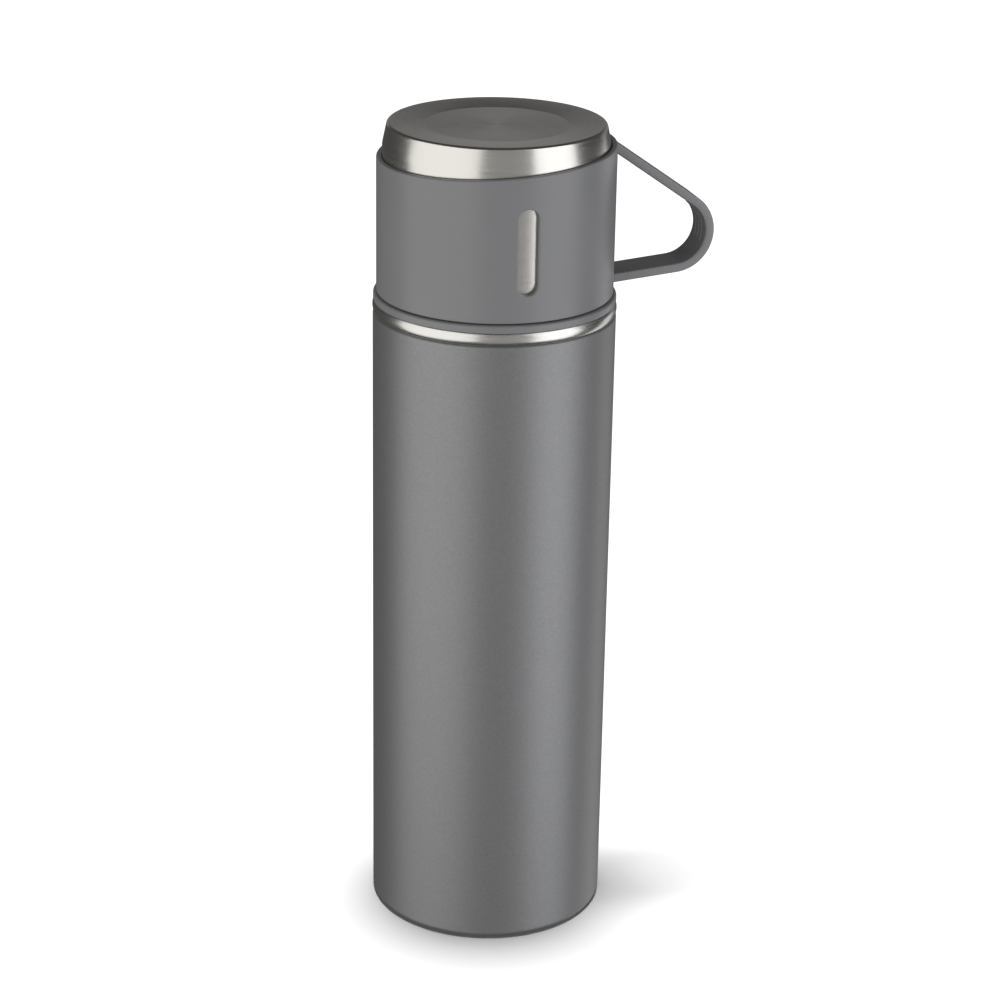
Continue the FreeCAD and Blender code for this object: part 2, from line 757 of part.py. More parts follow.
# ---------------------------------------------------------------- output
pieces = {
    "outer_shell": make_outer_shell,
    "outer_base": make_outer_base,
    "vacuum_plug": make_vacuum_plug,
    "getter_clip": make_getter_clip,
    "getter": make_getter,
    "liner_base": make_liner_base,
    "inner_liner": make_inner_liner,
    "foil_wrap": make_foil_wrap,
    "trim_band": make_trim_band,
    "neck_collar": make_neck_collar,
    "collar_gasket": make_collar_gasket,
    "steel_cup": make_steel_cup,
    "cup_sleeve": make_cup_sleeve,
    "cup_thread_ring": make_cup_thread_ring,
    "cup_gasket": make_cup_gasket,
    "stopper_body": make_stopper_body,
    "stopper_gasket": make_stopper_gasket,
    "stopper_cover": make_stopper_cover,
    "valve_seat": make_valve_seat,
    "stem_ring": make_stem_ring,
    "push_button": make_push_button,
    "valve_stem": make_valve_stem,
    "valve_plug": make_valve_plug,
    "valve_seal": make_valve_seal,
    "button_spring": make_button_spring,
}

os.makedirs("parts", exist_ok=True)
for name, make in pieces.items():
    shape = make()
    shape.exportStep(os.path.join("parts", name + ".step"))
    box = shape.BoundBox
    print(f"{name}: {len(shape.Solids)} solid, valid {shape.isValid()}, volume {shape.Volume:.1f},"
          f" x {box.XMin:.2f}..{box.XMax:.2f}, z {box.ZMin:.2f}..{box.ZMax:.2f}")
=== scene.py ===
"""Looks of a vacuum flask: painted steel bottle, push-button stopper and a cup with a strap handle.

Sizes are in millimetres in the flask's own frame: the axis is Z, the ground is zero, the handle
points along +X and the window in the cup's sleeve faces -Y. Places come from the CAD nodes.
"""

import logging
import math
from collections.abc import Sequence
from dataclasses import dataclass
from enum import Enum

import bmesh
import bpy
from mathutils import Matrix, Vector


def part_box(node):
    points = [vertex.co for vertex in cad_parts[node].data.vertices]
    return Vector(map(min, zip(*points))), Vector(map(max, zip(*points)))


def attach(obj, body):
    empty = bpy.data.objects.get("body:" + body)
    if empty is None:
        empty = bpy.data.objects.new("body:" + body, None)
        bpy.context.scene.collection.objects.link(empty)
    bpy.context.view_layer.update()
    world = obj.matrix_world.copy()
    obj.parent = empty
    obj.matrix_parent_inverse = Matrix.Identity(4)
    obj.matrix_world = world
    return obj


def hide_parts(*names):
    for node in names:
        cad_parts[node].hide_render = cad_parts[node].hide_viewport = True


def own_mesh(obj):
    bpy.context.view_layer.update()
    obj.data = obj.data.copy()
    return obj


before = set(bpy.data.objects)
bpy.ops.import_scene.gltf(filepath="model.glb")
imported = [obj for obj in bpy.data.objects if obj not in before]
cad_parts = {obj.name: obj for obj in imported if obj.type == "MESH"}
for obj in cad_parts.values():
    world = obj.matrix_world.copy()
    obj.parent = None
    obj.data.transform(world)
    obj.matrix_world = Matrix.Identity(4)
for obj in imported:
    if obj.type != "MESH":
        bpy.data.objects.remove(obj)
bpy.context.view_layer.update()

log = logging.getLogger("flask")
MM = 0.001
BOND_GAP = 0.03  # between pieces that are welded, glued or snapped together
SEAL_GAP = 0.06  # between a seal and the face that it closes on
WELD = 0.002
SHARP_ANGLE = math.radians(32)
ARC_STEP = 9.0  # degrees of a rounded corner to one facet
LEAST_ARC_STEPS = 3
FACE_PITCH = 1.5  # height or length of a face on a wall that is cut
NOISE_LOW, NOISE_HIGH = 0.3, 0.7  # what noise mostly stays between

Section = list[tuple[float, float]]
Thing = bpy.types.Object
Tree = bpy.types.NodeTree
Node = bpy.types.Node
Socket = bpy.types.NodeSocket


class Body(Enum):
    """The moving bodies that a piece can ride on."""

    FLASK = "flask"
    CUP = "cup"
    CUP_CARRIER = "cup_carrier"
    STOPPER = "stopper"
    STOPPER_CARRIER = "stopper_carrier"
    BUTTON = "button"


# ------------------------------------------------------------------------------------ colours and nodes
def linear(code: str) -> tuple[float, float, float, float]:
    """Turn an sRGB hex colour, such as #8a8a8a, into linear red, green and blue with a full alpha."""
    digits = code.lstrip("#")
    channels = [int(digits[place:place + 2], 16) / 255 for place in (0, 2, 4)]
    light = [c / 12.92 if c <= 0.04045 else ((c + 0.055) / 1.055) ** 2.4 for c in channels]
    return light[0], light[1], light[2], 1.0


def add_node(tree: Tree, kind: str, inputs: dict | None = None, **settings) -> Node:
    """Add a node, set its properties, and fill or link its inputs.

    Args:
        tree: Tree that the node goes in.
        kind: Node type name.
        inputs: Input name or number to a value, or to an output socket that is linked to it.
        settings: Properties of the node.

    Returns:
        The new node.
    """
    made = tree.nodes.new(kind)
    for key, value in settings.items():
        setattr(made, key, value)
    for key, value in (inputs or {}).items():
        if isinstance(value, Socket):
            tree.links.new(value, made.inputs[key])
        else:
            made.inputs[key].default_value = value
    return made


# ------------------------------------------------------------------------------------ finishes
@dataclass(frozen=True)
class Finish:
    """A surface: what it is made of, its colour and how it scatters light."""

    name: str
    colour: str
    roughness: float
    metallic: float = 0.0
    ior: float = 1.5
    grain: float = 0.2
    relief: float = 0.01
    shift: float = 0.03
    wander: float = 0.04

    def material(self) -> bpy.types.Material:
        """Return the material, made once and then shared."""
        found = bpy.data.materials.get(self.name)
        if found:
            return found
        material = bpy.data.materials.new(self.name)
        material.use_nodes = True
        tree = material.node_tree
        tree.nodes.clear()
        shader = add_node(tree, "ShaderNodeBsdfPrincipled", {
            "Metallic": self.metallic, "Roughness": self.roughness})
        if not self.metallic:
            shader.inputs["IOR"].default_value = self.ior
        shader.inputs["Base Color"].default_value = linear(self.colour)
        place = add_node(tree, "ShaderNodeTexCoord").outputs["Object"]
        self.dress(tree, shader, place)
        add_node(tree, "ShaderNodeOutputMaterial", {"Surface": shader.outputs["BSDF"]})
        material.diffuse_color = linear(self.colour)
        return material

    def dress(self, tree: Tree, shader: Node, place: Socket) -> None:
        """Add this finish's pattern. Each kind of finish has its own."""
        raise NotImplementedError

    def noise(self, tree: Tree, place: Socket, size: float, detail: float = 2.0) -> Socket:
        """Add noise whose lumps are about size millimetres across.

        Args:
            tree: The material's tree.
            place: Coordinates in metres.
            size: Width of a lump in millimetres.
            detail: Finer octaves on top.

        Returns:
            The noise, from 0 to 1.
        """
        made = add_node(tree, "ShaderNodeTexNoise", {
            "Vector": place, "Scale": 1 / (size * MM), "Detail": detail})
        return made.outputs["Fac"]

    def tint(self, tree: Tree, shader: Node, mask: Socket) -> None:
        """Let the colour run darker where mask is 0 and lighter where it is 1, by the finish's shift."""
        base = linear(self.colour)
        ramp = add_node(tree, "ShaderNodeMix", {0: mask}, data_type="RGBA")
        ramp.inputs["A"].default_value = (*[c * (1 - self.shift) for c in base[:3]], 1)
        ramp.inputs["B"].default_value = (*[min(c * (1 + self.shift), 1) for c in base[:3]], 1)
        tree.links.new(ramp.outputs["Result"], shader.inputs["Base Color"])

    def vary_roughness(self, tree: Tree, shader: Node, mask: Socket) -> None:
        """Let the roughness wander either side of the finish's own."""
        span = add_node(tree, "ShaderNodeMapRange", {
            "Value": mask, "From Min": NOISE_LOW, "From Max": NOISE_HIGH,
            "To Min": self.roughness - self.wander, "To Max": self.roughness + self.wander})
        tree.links.new(span.outputs["Result"], shader.inputs["Roughness"])

    def bump(self, tree: Tree, target: Node, height: Socket, depth: float) -> Node:
        """Raise the surface by depth millimetres where height is 1, through the target's normal."""
        made = add_node(tree, "ShaderNodeBump", {"Height": height, "Distance": depth * MM, "Strength": 1.0})
        tree.links.new(made.outputs["Normal"], target.inputs["Normal"])
        return made


@dataclass(frozen=True)
class MetallicPaint(Finish):
    """Sprayed metallic lacquer: fine flakes glint in a satin grey coat over slight orange peel."""

    wander: float = 0.035
    flake: float = 0.35
    peel: float = 2.4

    def dress(self, tree: Tree, shader: Node, place: Socket) -> None:
        """Scatter flakes through the colour and ripple the coat."""
        flakes = add_node(tree, "ShaderNodeTexVoronoi", {"Vector": place, "Scale": 1 / (self.flake * MM)})
        tone = add_node(tree, "ShaderNodeSeparateColor", {"Color": flakes.outputs["Color"]})
        self.tint(tree, shader, tone.outputs["Red"])
        self.vary_roughness(tree, shader, self.noise(tree, place, self.grain))
        self.bump(tree, shader, self.noise(tree, place, self.peel, detail=1.0), self.relief)


@dataclass(frozen=True)
class TurnedSteel(Finish):
    """Stainless steel polished on a lathe: hair-fine rings run round the axis on walls and ends."""

    wander: float = 0.05
    streak: float = 14.0
    streak_radius: float = 35.0
    anisotropy: float = 0.0
    dents: float = 0.0
    dent_width: float = 11.0

    def dress(self, tree: Tree, shader: Node, place: Socket) -> None:
        """Draw rings that vary quickly along and across the axis, and slowly round it."""
        parts = add_node(tree, "ShaderNodeSeparateXYZ", {"Vector": place})
        flat = add_node(tree, "ShaderNodeCombineXYZ", {"X": parts.outputs["X"], "Y": parts.outputs["Y"]})
        radius = add_node(tree, "ShaderNodeVectorMath", {0: flat.outputs[0]}, operation="LENGTH")
        way = add_node(tree, "ShaderNodeVectorMath", {0: flat.outputs[0]}, operation="NORMALIZE")
        across = add_node(tree, "ShaderNodeVectorMath", {0: way.outputs[0]}, operation="SCALE")
        across.inputs["Scale"].default_value = self.streak_radius / self.streak
        depth = add_node(tree, "ShaderNodeMath", {0: radius.outputs["Value"], 1: parts.outputs["Z"]},
                         operation="ADD")
        lines = add_node(tree, "ShaderNodeMath", {0: depth.outputs[0], 1: 1 / (self.grain * MM)},
                         operation="MULTIPLY")
        spread = add_node(tree, "ShaderNodeSeparateXYZ", {"Vector": across.outputs[0]})
        rings = add_node(tree, "ShaderNodeCombineXYZ", {
            "X": spread.outputs["X"], "Y": spread.outputs["Y"], "Z": lines.outputs[0]})
        brushed = add_node(tree, "ShaderNodeTexNoise", {
            "Vector": rings.outputs[0], "Scale": 1.0, "Detail": 3.0})
        self.tint(tree, shader, brushed.outputs["Fac"])
        self.vary_roughness(tree, shader, brushed.outputs["Fac"])
        grooves = self.bump(tree, shader, brushed.outputs["Fac"], self.relief)
        if self.dents:
            self.bump(tree, grooves, self.noise(tree, place, self.dent_width, detail=1.0), self.dents)
        if self.anisotropy:
            shader.inputs["Anisotropic"].default_value = self.anisotropy
            tangent = add_node(tree, "ShaderNodeTangent", direction_type="RADIAL", axis="Z")
            tree.links.new(tangent.outputs[0], shader.inputs["Tangent"])


@dataclass(frozen=True)
class MouldedPlastic(Finish):
    """Moulded plastic: spark-eroded mould grain, with slow changes of gloss where it has been handled."""

    patch: float = 18.0

    def dress(self, tree: Tree, shader: Node, place: Socket) -> None:
        """Give the skin its mould grain and a faint unevenness of tone."""
        patches = self.noise(tree, place, self.patch, detail=3.0)
        self.tint(tree, shader, patches)
        self.vary_roughness(tree, shader, patches)
        self.bump(tree, shader, self.noise(tree, place, self.grain), self.relief)


@dataclass(frozen=True)
class SoftSilicone(Finish):
    """Moulded silicone rubber: matte, a little dusty, and light carries on under its skin."""

    wander: float = 0.06
    scatter: float = 0.25
    depth: float = 0.8
    dust: float = 1.5

    def dress(self, tree: Tree, shader: Node, place: Socket) -> None:
        """Let light into the skin, and dust it."""
        shader.inputs["Subsurface Weight"].default_value = self.scatter
        shader.inputs["Subsurface Scale"].default_value = self.depth * MM
        dust = self.noise(tree, place, self.dust, detail=4.0)
        self.tint(tree, shader, dust)
        self.vary_roughness(tree, shader, dust)
        self.bump(tree, shader, self.noise(tree, place, self.grain), self.relief)


@dataclass(frozen=True)
class GrainyMetal(Finish):
    """Metal with an uneven skin, such as crumpled foil, solder or pressed powder."""

    def dress(self, tree: Tree, shader: Node, place: Socket) -> None:
        """Crumple the surface by lumps of the finish's grain."""
        cells = add_node(tree, "ShaderNodeTexVoronoi", {"Vector": place, "Scale": 1 / (self.grain * MM)},
                         feature="SMOOTH_F1")
        self.tint(tree, shader, self.noise(tree, place, self.grain))
        self.bump(tree, shader, cells.outputs["Distance"], self.relief)


# Painted body: satin grey, so its highlights are broad and soft.
BODY_PAINT = MetallicPaint("satin metallic lacquer on steel", "#8a8a8a", 0.47, 0.7, grain=0.6,
                           relief=0.0012, shift=0.06)
# Cup: stainless steel turned with fine emery, between satin and bright.
CUP_STEEL = TurnedSteel("brushed stainless steel, cup", "#cdcac4", 0.22, 1.0, grain=0.09, relief=0.0006,
                        shift=0.05, anisotropy=0.45, dents=0.04)
# Band: the same steel, buffed bright.
BAND_STEEL = TurnedSteel("buffed stainless steel, band", "#d0cec9", 0.27, 1.0, grain=0.12, relief=0.0004,
                         shift=0.03)
# Liner: electropolished inside, which leaves a mirror with a faint ripple.
LINER_STEEL = TurnedSteel("electropolished stainless steel, liner", "#c9c8c4", 0.14, 1.0, grain=1.6,
                          relief=0.002, shift=0.03)
# Base disc: bead-blasted after welding.
BASE_STEEL = TurnedSteel("satin stainless steel, base", "#b4b3b0", 0.34, 1.0, grain=0.2, relief=0.001,
                         shift=0.05)
# Spring: drawn wire with lengthwise marks too fine to see at this size.
SPRING_STEEL = TurnedSteel("drawn spring steel wire", "#a9a9a8", 0.25, 1.0, grain=0.3, relief=0.0005,
                           shift=0.04)
# Sleeve, handle and collar: polypropylene with a soft-touch coat.
GREY_PLASTIC = MouldedPlastic("soft-touch polypropylene, grey", "#838384", 0.36, grain=0.16, relief=0.006,
                              shift=0.02)
# Stopper: plain black polypropylene from a finer mould.
DARK_PLASTIC = MouldedPlastic("moulded polypropylene, black", "#232326", 0.38, grain=0.22, relief=0.006,
                              shift=0.05)
# Button: the sleeve's colour without the soft coat, so it is a little glossier.
BUTTON_PLASTIC = MouldedPlastic("moulded polypropylene, grey button", "#6d6d6e", 0.34, grain=0.2,
                                relief=0.004, shift=0.02)
SILICONE = SoftSilicone("moulded silicone rubber, milky", "#c4c3bf", 0.55, ior=1.43, grain=0.25,
                        relief=0.004, shift=0.03)
FOIL = GrainyMetal("crumpled aluminium foil", "#dcdddd", 0.18, 1.0, grain=4.0, relief=0.25, shift=0.02)
SOLDER = GrainyMetal("tin solder", "#9a9a98", 0.35, 1.0, grain=0.6, relief=0.04, shift=0.08)
GETTER_POWDER = GrainyMetal("sintered zirconium powder", "#55545a", 0.7, 1.0, grain=0.25, relief=0.05,
                            shift=0.2)
CLIP_METAL = GrainyMetal("pressed nickel strip", "#8f8e8a", 0.3, 1.0, grain=0.8, relief=0.01, shift=0.05)


# ------------------------------------------------------------------------------------ sections
@dataclass(frozen=True)
class Corner:
    """A corner of a section: distance from the axis, height, and how much it is rounded."""

    x: float
    z: float
    rounding: float = 0.0


def rounded(corners: Sequence[Corner], closed: bool = True) -> Section:
    """Round the corners of an outline by tangent arcs.

    Args:
        corners: The outline's corners in order.
        closed: Whether the last corner joins the first. An open outline keeps its two ends sharp.

    Returns:
        Points along the outline in millimetres.
    """
    points = [Vector((corner.x, corner.z)) for corner in corners]
    count = len(points)
    line: Section = []
    for index, corner in enumerate(corners):
        point = points[index]
        is_end = not closed and index in (0, count - 1)
        if corner.rounding <= 0 or is_end:
            line.append((point.x, point.y))
            continue
        back = (points[index - 1] - point).normalized()
        ahead = (points[(index + 1) % count] - point).normalized()
        half = back.angle(ahead) / 2
        reach = corner.rounding / math.tan(half)
        centre = point + (back + ahead).normalized() * (corner.rounding / math.sin(half))
        start = point + back * reach - centre
        turn = math.pi - 2 * half
        side = math.copysign(1, back.x * ahead.y - back.y * ahead.x)
        steps = max(LEAST_ARC_STEPS, math.ceil(math.degrees(turn) / ARC_STEP))
        for step in range(steps + 1):
            angle = -side * turn * step / steps
            spun = Vector((start.x * math.cos(angle) - start.y * math.sin(angle),
                           start.x * math.sin(angle) + start.y * math.cos(angle)))
            line.append((centre.x + spun.x, centre.y + spun.y))
    return line


def sheet(path: Sequence[Corner], thickness: float, closed: bool = True) -> Section:
    """Outline a bent sheet.

    Args:
        path: Corners of one of its faces. The other face lies to its left.
        thickness: Of the sheet.
        closed: False for a sheet that meets the axis at one end of the path.

    Returns:
        Points in millimetres.
    """
    points = [Vector((corner.x, corner.z)) for corner in path]
    lefts = []
    for first, second in zip(points, points[1:]):
        ahead = (second - first).normalized()
        lefts.append(Vector((-ahead.y, ahead.x)))
    moved = []
    for index, (point, corner) in enumerate(zip(points, path)):
        before, after = lefts[max(index - 1, 0)], lefts[min(index, len(lefts) - 1)]
        shifted = point + (before + after) * (thickness / (1 + before.dot(after)))
        turn = before.x * after.y - before.y * after.x
        rounding = corner.rounding + math.copysign(thickness, -turn) if corner.rounding else 0
        moved.append(Corner(shifted.x, shifted.y, max(rounding, 0)))
    if closed:
        return rounded([*path, *reversed(moved)])
    if path[0].x == 0:
        return rounded([*path, *reversed(moved)], False)
    return rounded([*reversed(moved), *path], False)


def ring(inner: float, outer: float, bottom: float, top: float, edge: float) -> Section:
    """Outline of a plain ring with broken edges."""
    return rounded([Corner(inner, bottom, edge), Corner(outer, bottom, edge),
                    Corner(outer, top, edge), Corner(inner, top, edge)])


@dataclass(frozen=True)
class Seat:
    """Where a CAD node sits, in millimetres."""

    foot: float
    top: float

    @classmethod
    def of(cls, node: str) -> "Seat":
        """Read the node's place from the frame."""
        low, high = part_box(node)
        return cls(low.z / MM, high.z / MM)


# ------------------------------------------------------------------------------------ Geometry Nodes trees
def new_tree(name: str, inputs: dict[str, str]) -> Tree:
    """Start a Geometry Nodes tree with a Shape input, the named inputs and a Material input.

    Args:
        name: The tree's name.
        inputs: Input names to socket types.

    Returns:
        The tree, holding only its two group nodes.
    """
    tree = bpy.data.node_groups.new(name, "GeometryNodeTree")
    tree.interface.new_socket("Shape", in_out="INPUT", socket_type="NodeSocketGeometry")
    for label, kind in inputs.items():
        tree.interface.new_socket(label, in_out="INPUT", socket_type=kind)
    tree.interface.new_socket("Material", in_out="INPUT", socket_type="NodeSocketMaterial")
    tree.interface.new_socket("Piece", in_out="OUTPUT", socket_type="NodeSocketGeometry")
    tree.nodes.new("NodeGroupInput")
    tree.nodes.new("NodeGroupOutput")
    return tree


def close_tree(tree: Tree, shape: Socket) -> Tree:
    """End a tree: realise instances, weld doubles and set the material."""
    given = tree.nodes["Group Input"].outputs
    real = add_node(tree, "GeometryNodeRealizeInstances", {"Geometry": shape})
    welded = add_node(tree, "GeometryNodeMergeByDistance", {
        "Geometry": real.outputs[0], "Distance": WELD * MM})
    dressed = add_node(tree, "GeometryNodeSetMaterial", {
        "Geometry": welded.outputs[0], "Material": given["Material"]})
    tree.links.new(dressed.outputs[0], tree.nodes["Group Output"].inputs[0])
    return tree


def turned_tree() -> Tree:
    """Tree that turns a section about the Z axis, as a lathe does."""
    tree = new_tree("Turned piece", {"Segments": "NodeSocketInt", "Path radius": "NodeSocketFloat"})
    given = tree.nodes["Group Input"].outputs
    section = add_node(tree, "GeometryNodeMeshToCurve", {"Mesh": given["Shape"]})
    path = add_node(tree, "GeometryNodeCurvePrimitiveCircle", {
        "Resolution": given["Segments"], "Radius": given["Path radius"]})
    skin = add_node(tree, "GeometryNodeCurveToMesh", {
        "Curve": path.outputs["Curve"], "Profile Curve": section.outputs["Curve"]})
    return close_tree(tree, skin.outputs["Mesh"])


def helix_tree() -> Tree:
    """Tree that sweeps a section up a right-handed helix, and repeats it evenly about the axis."""
    tree = new_tree("Helical ridge", {
        "Radius": "NodeSocketFloat", "Turns": "NodeSocketFloat", "Rise": "NodeSocketFloat",
        "Points per turn": "NodeSocketInt", "Starts": "NodeSocketInt"})
    given = tree.nodes["Group Input"].outputs
    path = add_node(tree, "GeometryNodeCurveSpiral", {
        "Resolution": given["Points per turn"], "Rotations": given["Turns"],
        "Start Radius": given["Radius"], "End Radius": given["Radius"], "Height": given["Rise"],
        "Reverse": True})
    upright = add_node(tree, "GeometryNodeSetCurveNormal", {"Curve": path.outputs[0]}, mode="Z_UP")
    section = add_node(tree, "GeometryNodeMeshToCurve", {"Mesh": given["Shape"]})
    ridge = add_node(tree, "GeometryNodeCurveToMesh", {
        "Curve": upright.outputs[0], "Profile Curve": section.outputs[0], "Fill Caps": True})
    return close_tree(tree, around_axis(tree, ridge.outputs[0], given["Starts"], None))


def around_axis(tree: Tree, shape: Socket, count: Socket, step: Socket | None) -> Socket:
    """Add nodes that repeat a shape about the Z axis.

    Args:
        tree: The tree.
        shape: Geometry to repeat.
        count: Number of copies.
        step: Angle from one copy to the next, or None for a full round of even steps.

    Returns:
        The copies, as instances.
    """
    line = add_node(tree, "GeometryNodeMeshLine", {"Count": count})
    line.inputs["Offset"].default_value = (0, 0, 0)
    number = add_node(tree, "GeometryNodeInputIndex")
    if step is None:
        whole = add_node(tree, "ShaderNodeMath", {0: math.tau, 1: count}, operation="DIVIDE")
        step = whole.outputs[0]
    angle = add_node(tree, "ShaderNodeMath", {0: number.outputs[0], 1: step}, operation="MULTIPLY")
    turn = add_node(tree, "ShaderNodeCombineXYZ", {"Z": angle.outputs[0]})
    copies = add_node(tree, "GeometryNodeInstanceOnPoints", {
        "Points": line.outputs[0], "Instance": shape, "Rotation": turn.outputs[0]})
    return copies.outputs[0]


def fan_tree() -> Tree:
    """Tree that repeats a shape about the Z axis at a stated step, such as grip ribs."""
    tree = new_tree("Fan of copies", {"Count": "NodeSocketInt", "Step": "NodeSocketFloat"})
    given = tree.nodes["Group Input"].outputs
    return close_tree(tree, around_axis(tree, given["Shape"], given["Count"], given["Step"]))


def row_tree() -> Tree:
    """Tree that repeats a shape along a straight row."""
    tree = new_tree("Row of copies", {"Count": "NodeSocketInt", "Spacing": "NodeSocketVector"})
    given = tree.nodes["Group Input"].outputs
    line = add_node(tree, "GeometryNodeMeshLine", {"Count": given["Count"], "Offset": given["Spacing"]})
    copies = add_node(tree, "GeometryNodeInstanceOnPoints", {
        "Points": line.outputs[0], "Instance": given["Shape"]})
    return close_tree(tree, copies.outputs[0])


# ------------------------------------------------------------------------------------ mesh making
def placed(name: str, data: bpy.types.ID) -> Thing:
    """Make an object of a mesh, light or camera and put it in the scene."""
    made = bpy.data.objects.new(name, data)
    bpy.context.scene.collection.objects.link(made)
    return made


def face_outward(mesh: bpy.types.Mesh, weld: float = 0.0) -> None:
    """Turn a mesh's faces outward, once points closer than weld metres are merged."""
    shaped = bmesh.new()
    shaped.from_mesh(mesh)
    if weld:
        bmesh.ops.remove_doubles(shaped, verts=shaped.verts, dist=weld)
    bmesh.ops.recalc_face_normals(shaped, faces=shaped.faces)
    shaped.to_mesh(mesh)
    shaped.free()


def shade(mesh: bpy.types.Mesh) -> None:
    """Shade a mesh smooth but for its sharp edges."""
    mesh.shade_smooth()
    mesh.set_sharp_from_angle(angle=SHARP_ANGLE)


def linked(count: int) -> list[tuple[int, int]]:
    """Edges that join count points into a line."""
    return [(place, place + 1) for place in range(count - 1)]


def loft_faces(size: int) -> list[list[int]]:
    """Faces of a closed tube between two outlines of one size."""
    sides = [[place, (place + 1) % size, size + (place + 1) % size, size + place] for place in range(size)]
    return [list(reversed(range(size))), list(range(size, 2 * size)), *sides]


@dataclass
class Workshop:
    """Makes meshes: turned pieces, helical ridges, repeats and cuts."""

    turning: Tree
    helix: Tree
    fan: Tree
    row: Tree
    segments: int = 240
    helix_points: int = 96

    @classmethod
    def opened(cls) -> "Workshop":
        """Build the Geometry Nodes trees that the workshop uses."""
        return cls(turned_tree(), helix_tree(), fan_tree(), row_tree())

    def grown(self, name: str, host: Thing, tree: Tree, finish: Finish,
              values: dict[str, object]) -> Thing:
        """Run a tree on a host object and keep the result as a plain mesh.

        Args:
            name: Name of the new object.
            host: Object whose mesh the tree starts from. It is removed.
            tree: The tree.
            finish: Finish of the result.
            values: Input names to values.

        Returns:
            The new object.
        """
        modifier = host.modifiers.new(tree.name, "NODES")
        modifier.node_group = tree
        inputs = {item.name: item.identifier for item in tree.interface.items_tree if item.in_out == "INPUT"}
        for label, value in {**values, "Material": finish.material()}.items():
            modifier[inputs[label]] = value
        return self.settled(name, host)

    def settled(self, name: str, host: Thing) -> Thing:
        """Turn an object and its modifiers into a new plain object, and remove the old one."""
        graph = bpy.context.evaluated_depsgraph_get()
        mesh = bpy.data.meshes.new_from_object(host.evaluated_get(graph), depsgraph=graph)
        mesh.name = name
        self.discard(host)
        face_outward(mesh, WELD * MM)
        shade(mesh)
        return placed(name, mesh)

    def discard(self, thing: Thing) -> None:
        """Remove an object and its mesh."""
        mesh = thing.data
        bpy.data.objects.remove(thing)
        bpy.data.meshes.remove(mesh)

    def mesh_object(self, name: str, points: Sequence[Sequence[float]], edges: Sequence[Sequence[int]] = (),
                    faces: Sequence[Sequence[int]] = ()) -> Thing:
        """Make an object from points in metres, edges and faces."""
        mesh = bpy.data.meshes.new(name)
        mesh.from_pydata(points, edges, faces)
        return placed(name, mesh)

    def wire(self, section: Section, centre_x: float, centre_z: float, closed: bool) -> Thing:
        """Lay a section flat as a wire, the way a sweep along a ring or helix takes it."""
        points = [((x - centre_x) * MM, -(z - centre_z) * MM, 0) for x, z in section]
        edges = linked(len(points))
        if closed:
            edges.append((len(points) - 1, 0))
        return self.mesh_object("wire", points, edges)

    def turn(self, name: str, section: Section, finish: Finish, closed: bool = True) -> Thing:
        """Turn a section about the axis.

        Args:
            name: Name of the piece.
            section: Outline in millimetres. An open outline starts and ends on the axis.
            finish: Finish of the piece.
            closed: Whether the outline is a closed loop.

        Returns:
            The piece.
        """
        path_radius = max(x for x, _ in section)
        host = self.wire(section, path_radius, 0, closed)
        values = {"Segments": self.segments, "Path radius": path_radius * MM}
        return self.grown(name, host, self.turning, finish, values)

    def coil(self, name: str, section: Section, radius: float, foot: float, rise: float, turns: float,
             finish: Finish, starts: int = 1) -> Thing:
        """Sweep a section, drawn about the origin, up a helix.

        Args:
            name: Name of the piece.
            section: Closed outline about the helix's line.
            radius: Radius of the helix.
            foot: Height where it begins.
            rise: Height from its beginning to its end.
            turns: Number of turns.
            finish: Finish of the piece.
            starts: Number of copies about the axis.

        Returns:
            The piece.
        """
        host = self.wire(section, 0, 0, True)
        made = self.grown(name, host, self.helix, finish, {
            "Radius": radius * MM, "Turns": turns, "Rise": rise * MM,
            "Points per turn": self.helix_points, "Starts": starts})
        made.data.transform(Matrix.Translation((0, 0, foot * MM)))
        return made

    def cut(self, target: Thing, tools: Sequence[Thing],
            operation: str = "DIFFERENCE") -> Thing:
        """Cut tools out of an object, or join them to it.

        Args:
            target: Object to change.
            tools: Closed shapes, removed afterwards.
            operation: DIFFERENCE or UNION.

        Returns:
            The new object, with the target's name.
        """
        for tool in tools:
            modifier = target.modifiers.new("shape", "BOOLEAN")
            modifier.operation = operation
            modifier.solver = "EXACT"
            modifier.object = tool
        name = target.name
        target.name = name + "_blank"
        made = self.settled(name, target)
        for tool in tools:
            self.discard(tool)
        return made

    def joined(self, name: str, pieces: Sequence[Thing]) -> Thing:
        """Put several meshes with one finish into one object."""
        combined = bmesh.new()
        for piece in pieces:
            combined.from_mesh(piece.data)
        mesh = bpy.data.meshes.new(name)
        combined.to_mesh(mesh)
        combined.free()
        mesh.materials.append(pieces[0].data.materials[0])
        for piece in pieces:
            self.discard(piece)
        shade(mesh)
        return placed(name, mesh)


def install(piece: Thing, body: Body, slot: str, *nodes: str) -> None:
    """Fasten a finished piece to its body, and let it stand for its CAD nodes."""
    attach(piece, body.value)
    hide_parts(*nodes)
    log.info("%s rides on %s, %d faces", piece.name, body.value, len(piece.data.polygons))


def straight(x: float, low: float, high: float) -> list[Corner]:
    """Points up a straight wall, so that faces next to a cut stay short."""
    count = max(1, round(abs(high - low) / FACE_PITCH))
    return [Corner(x, low + (high - low) * step / count) for step in range(1, count)]


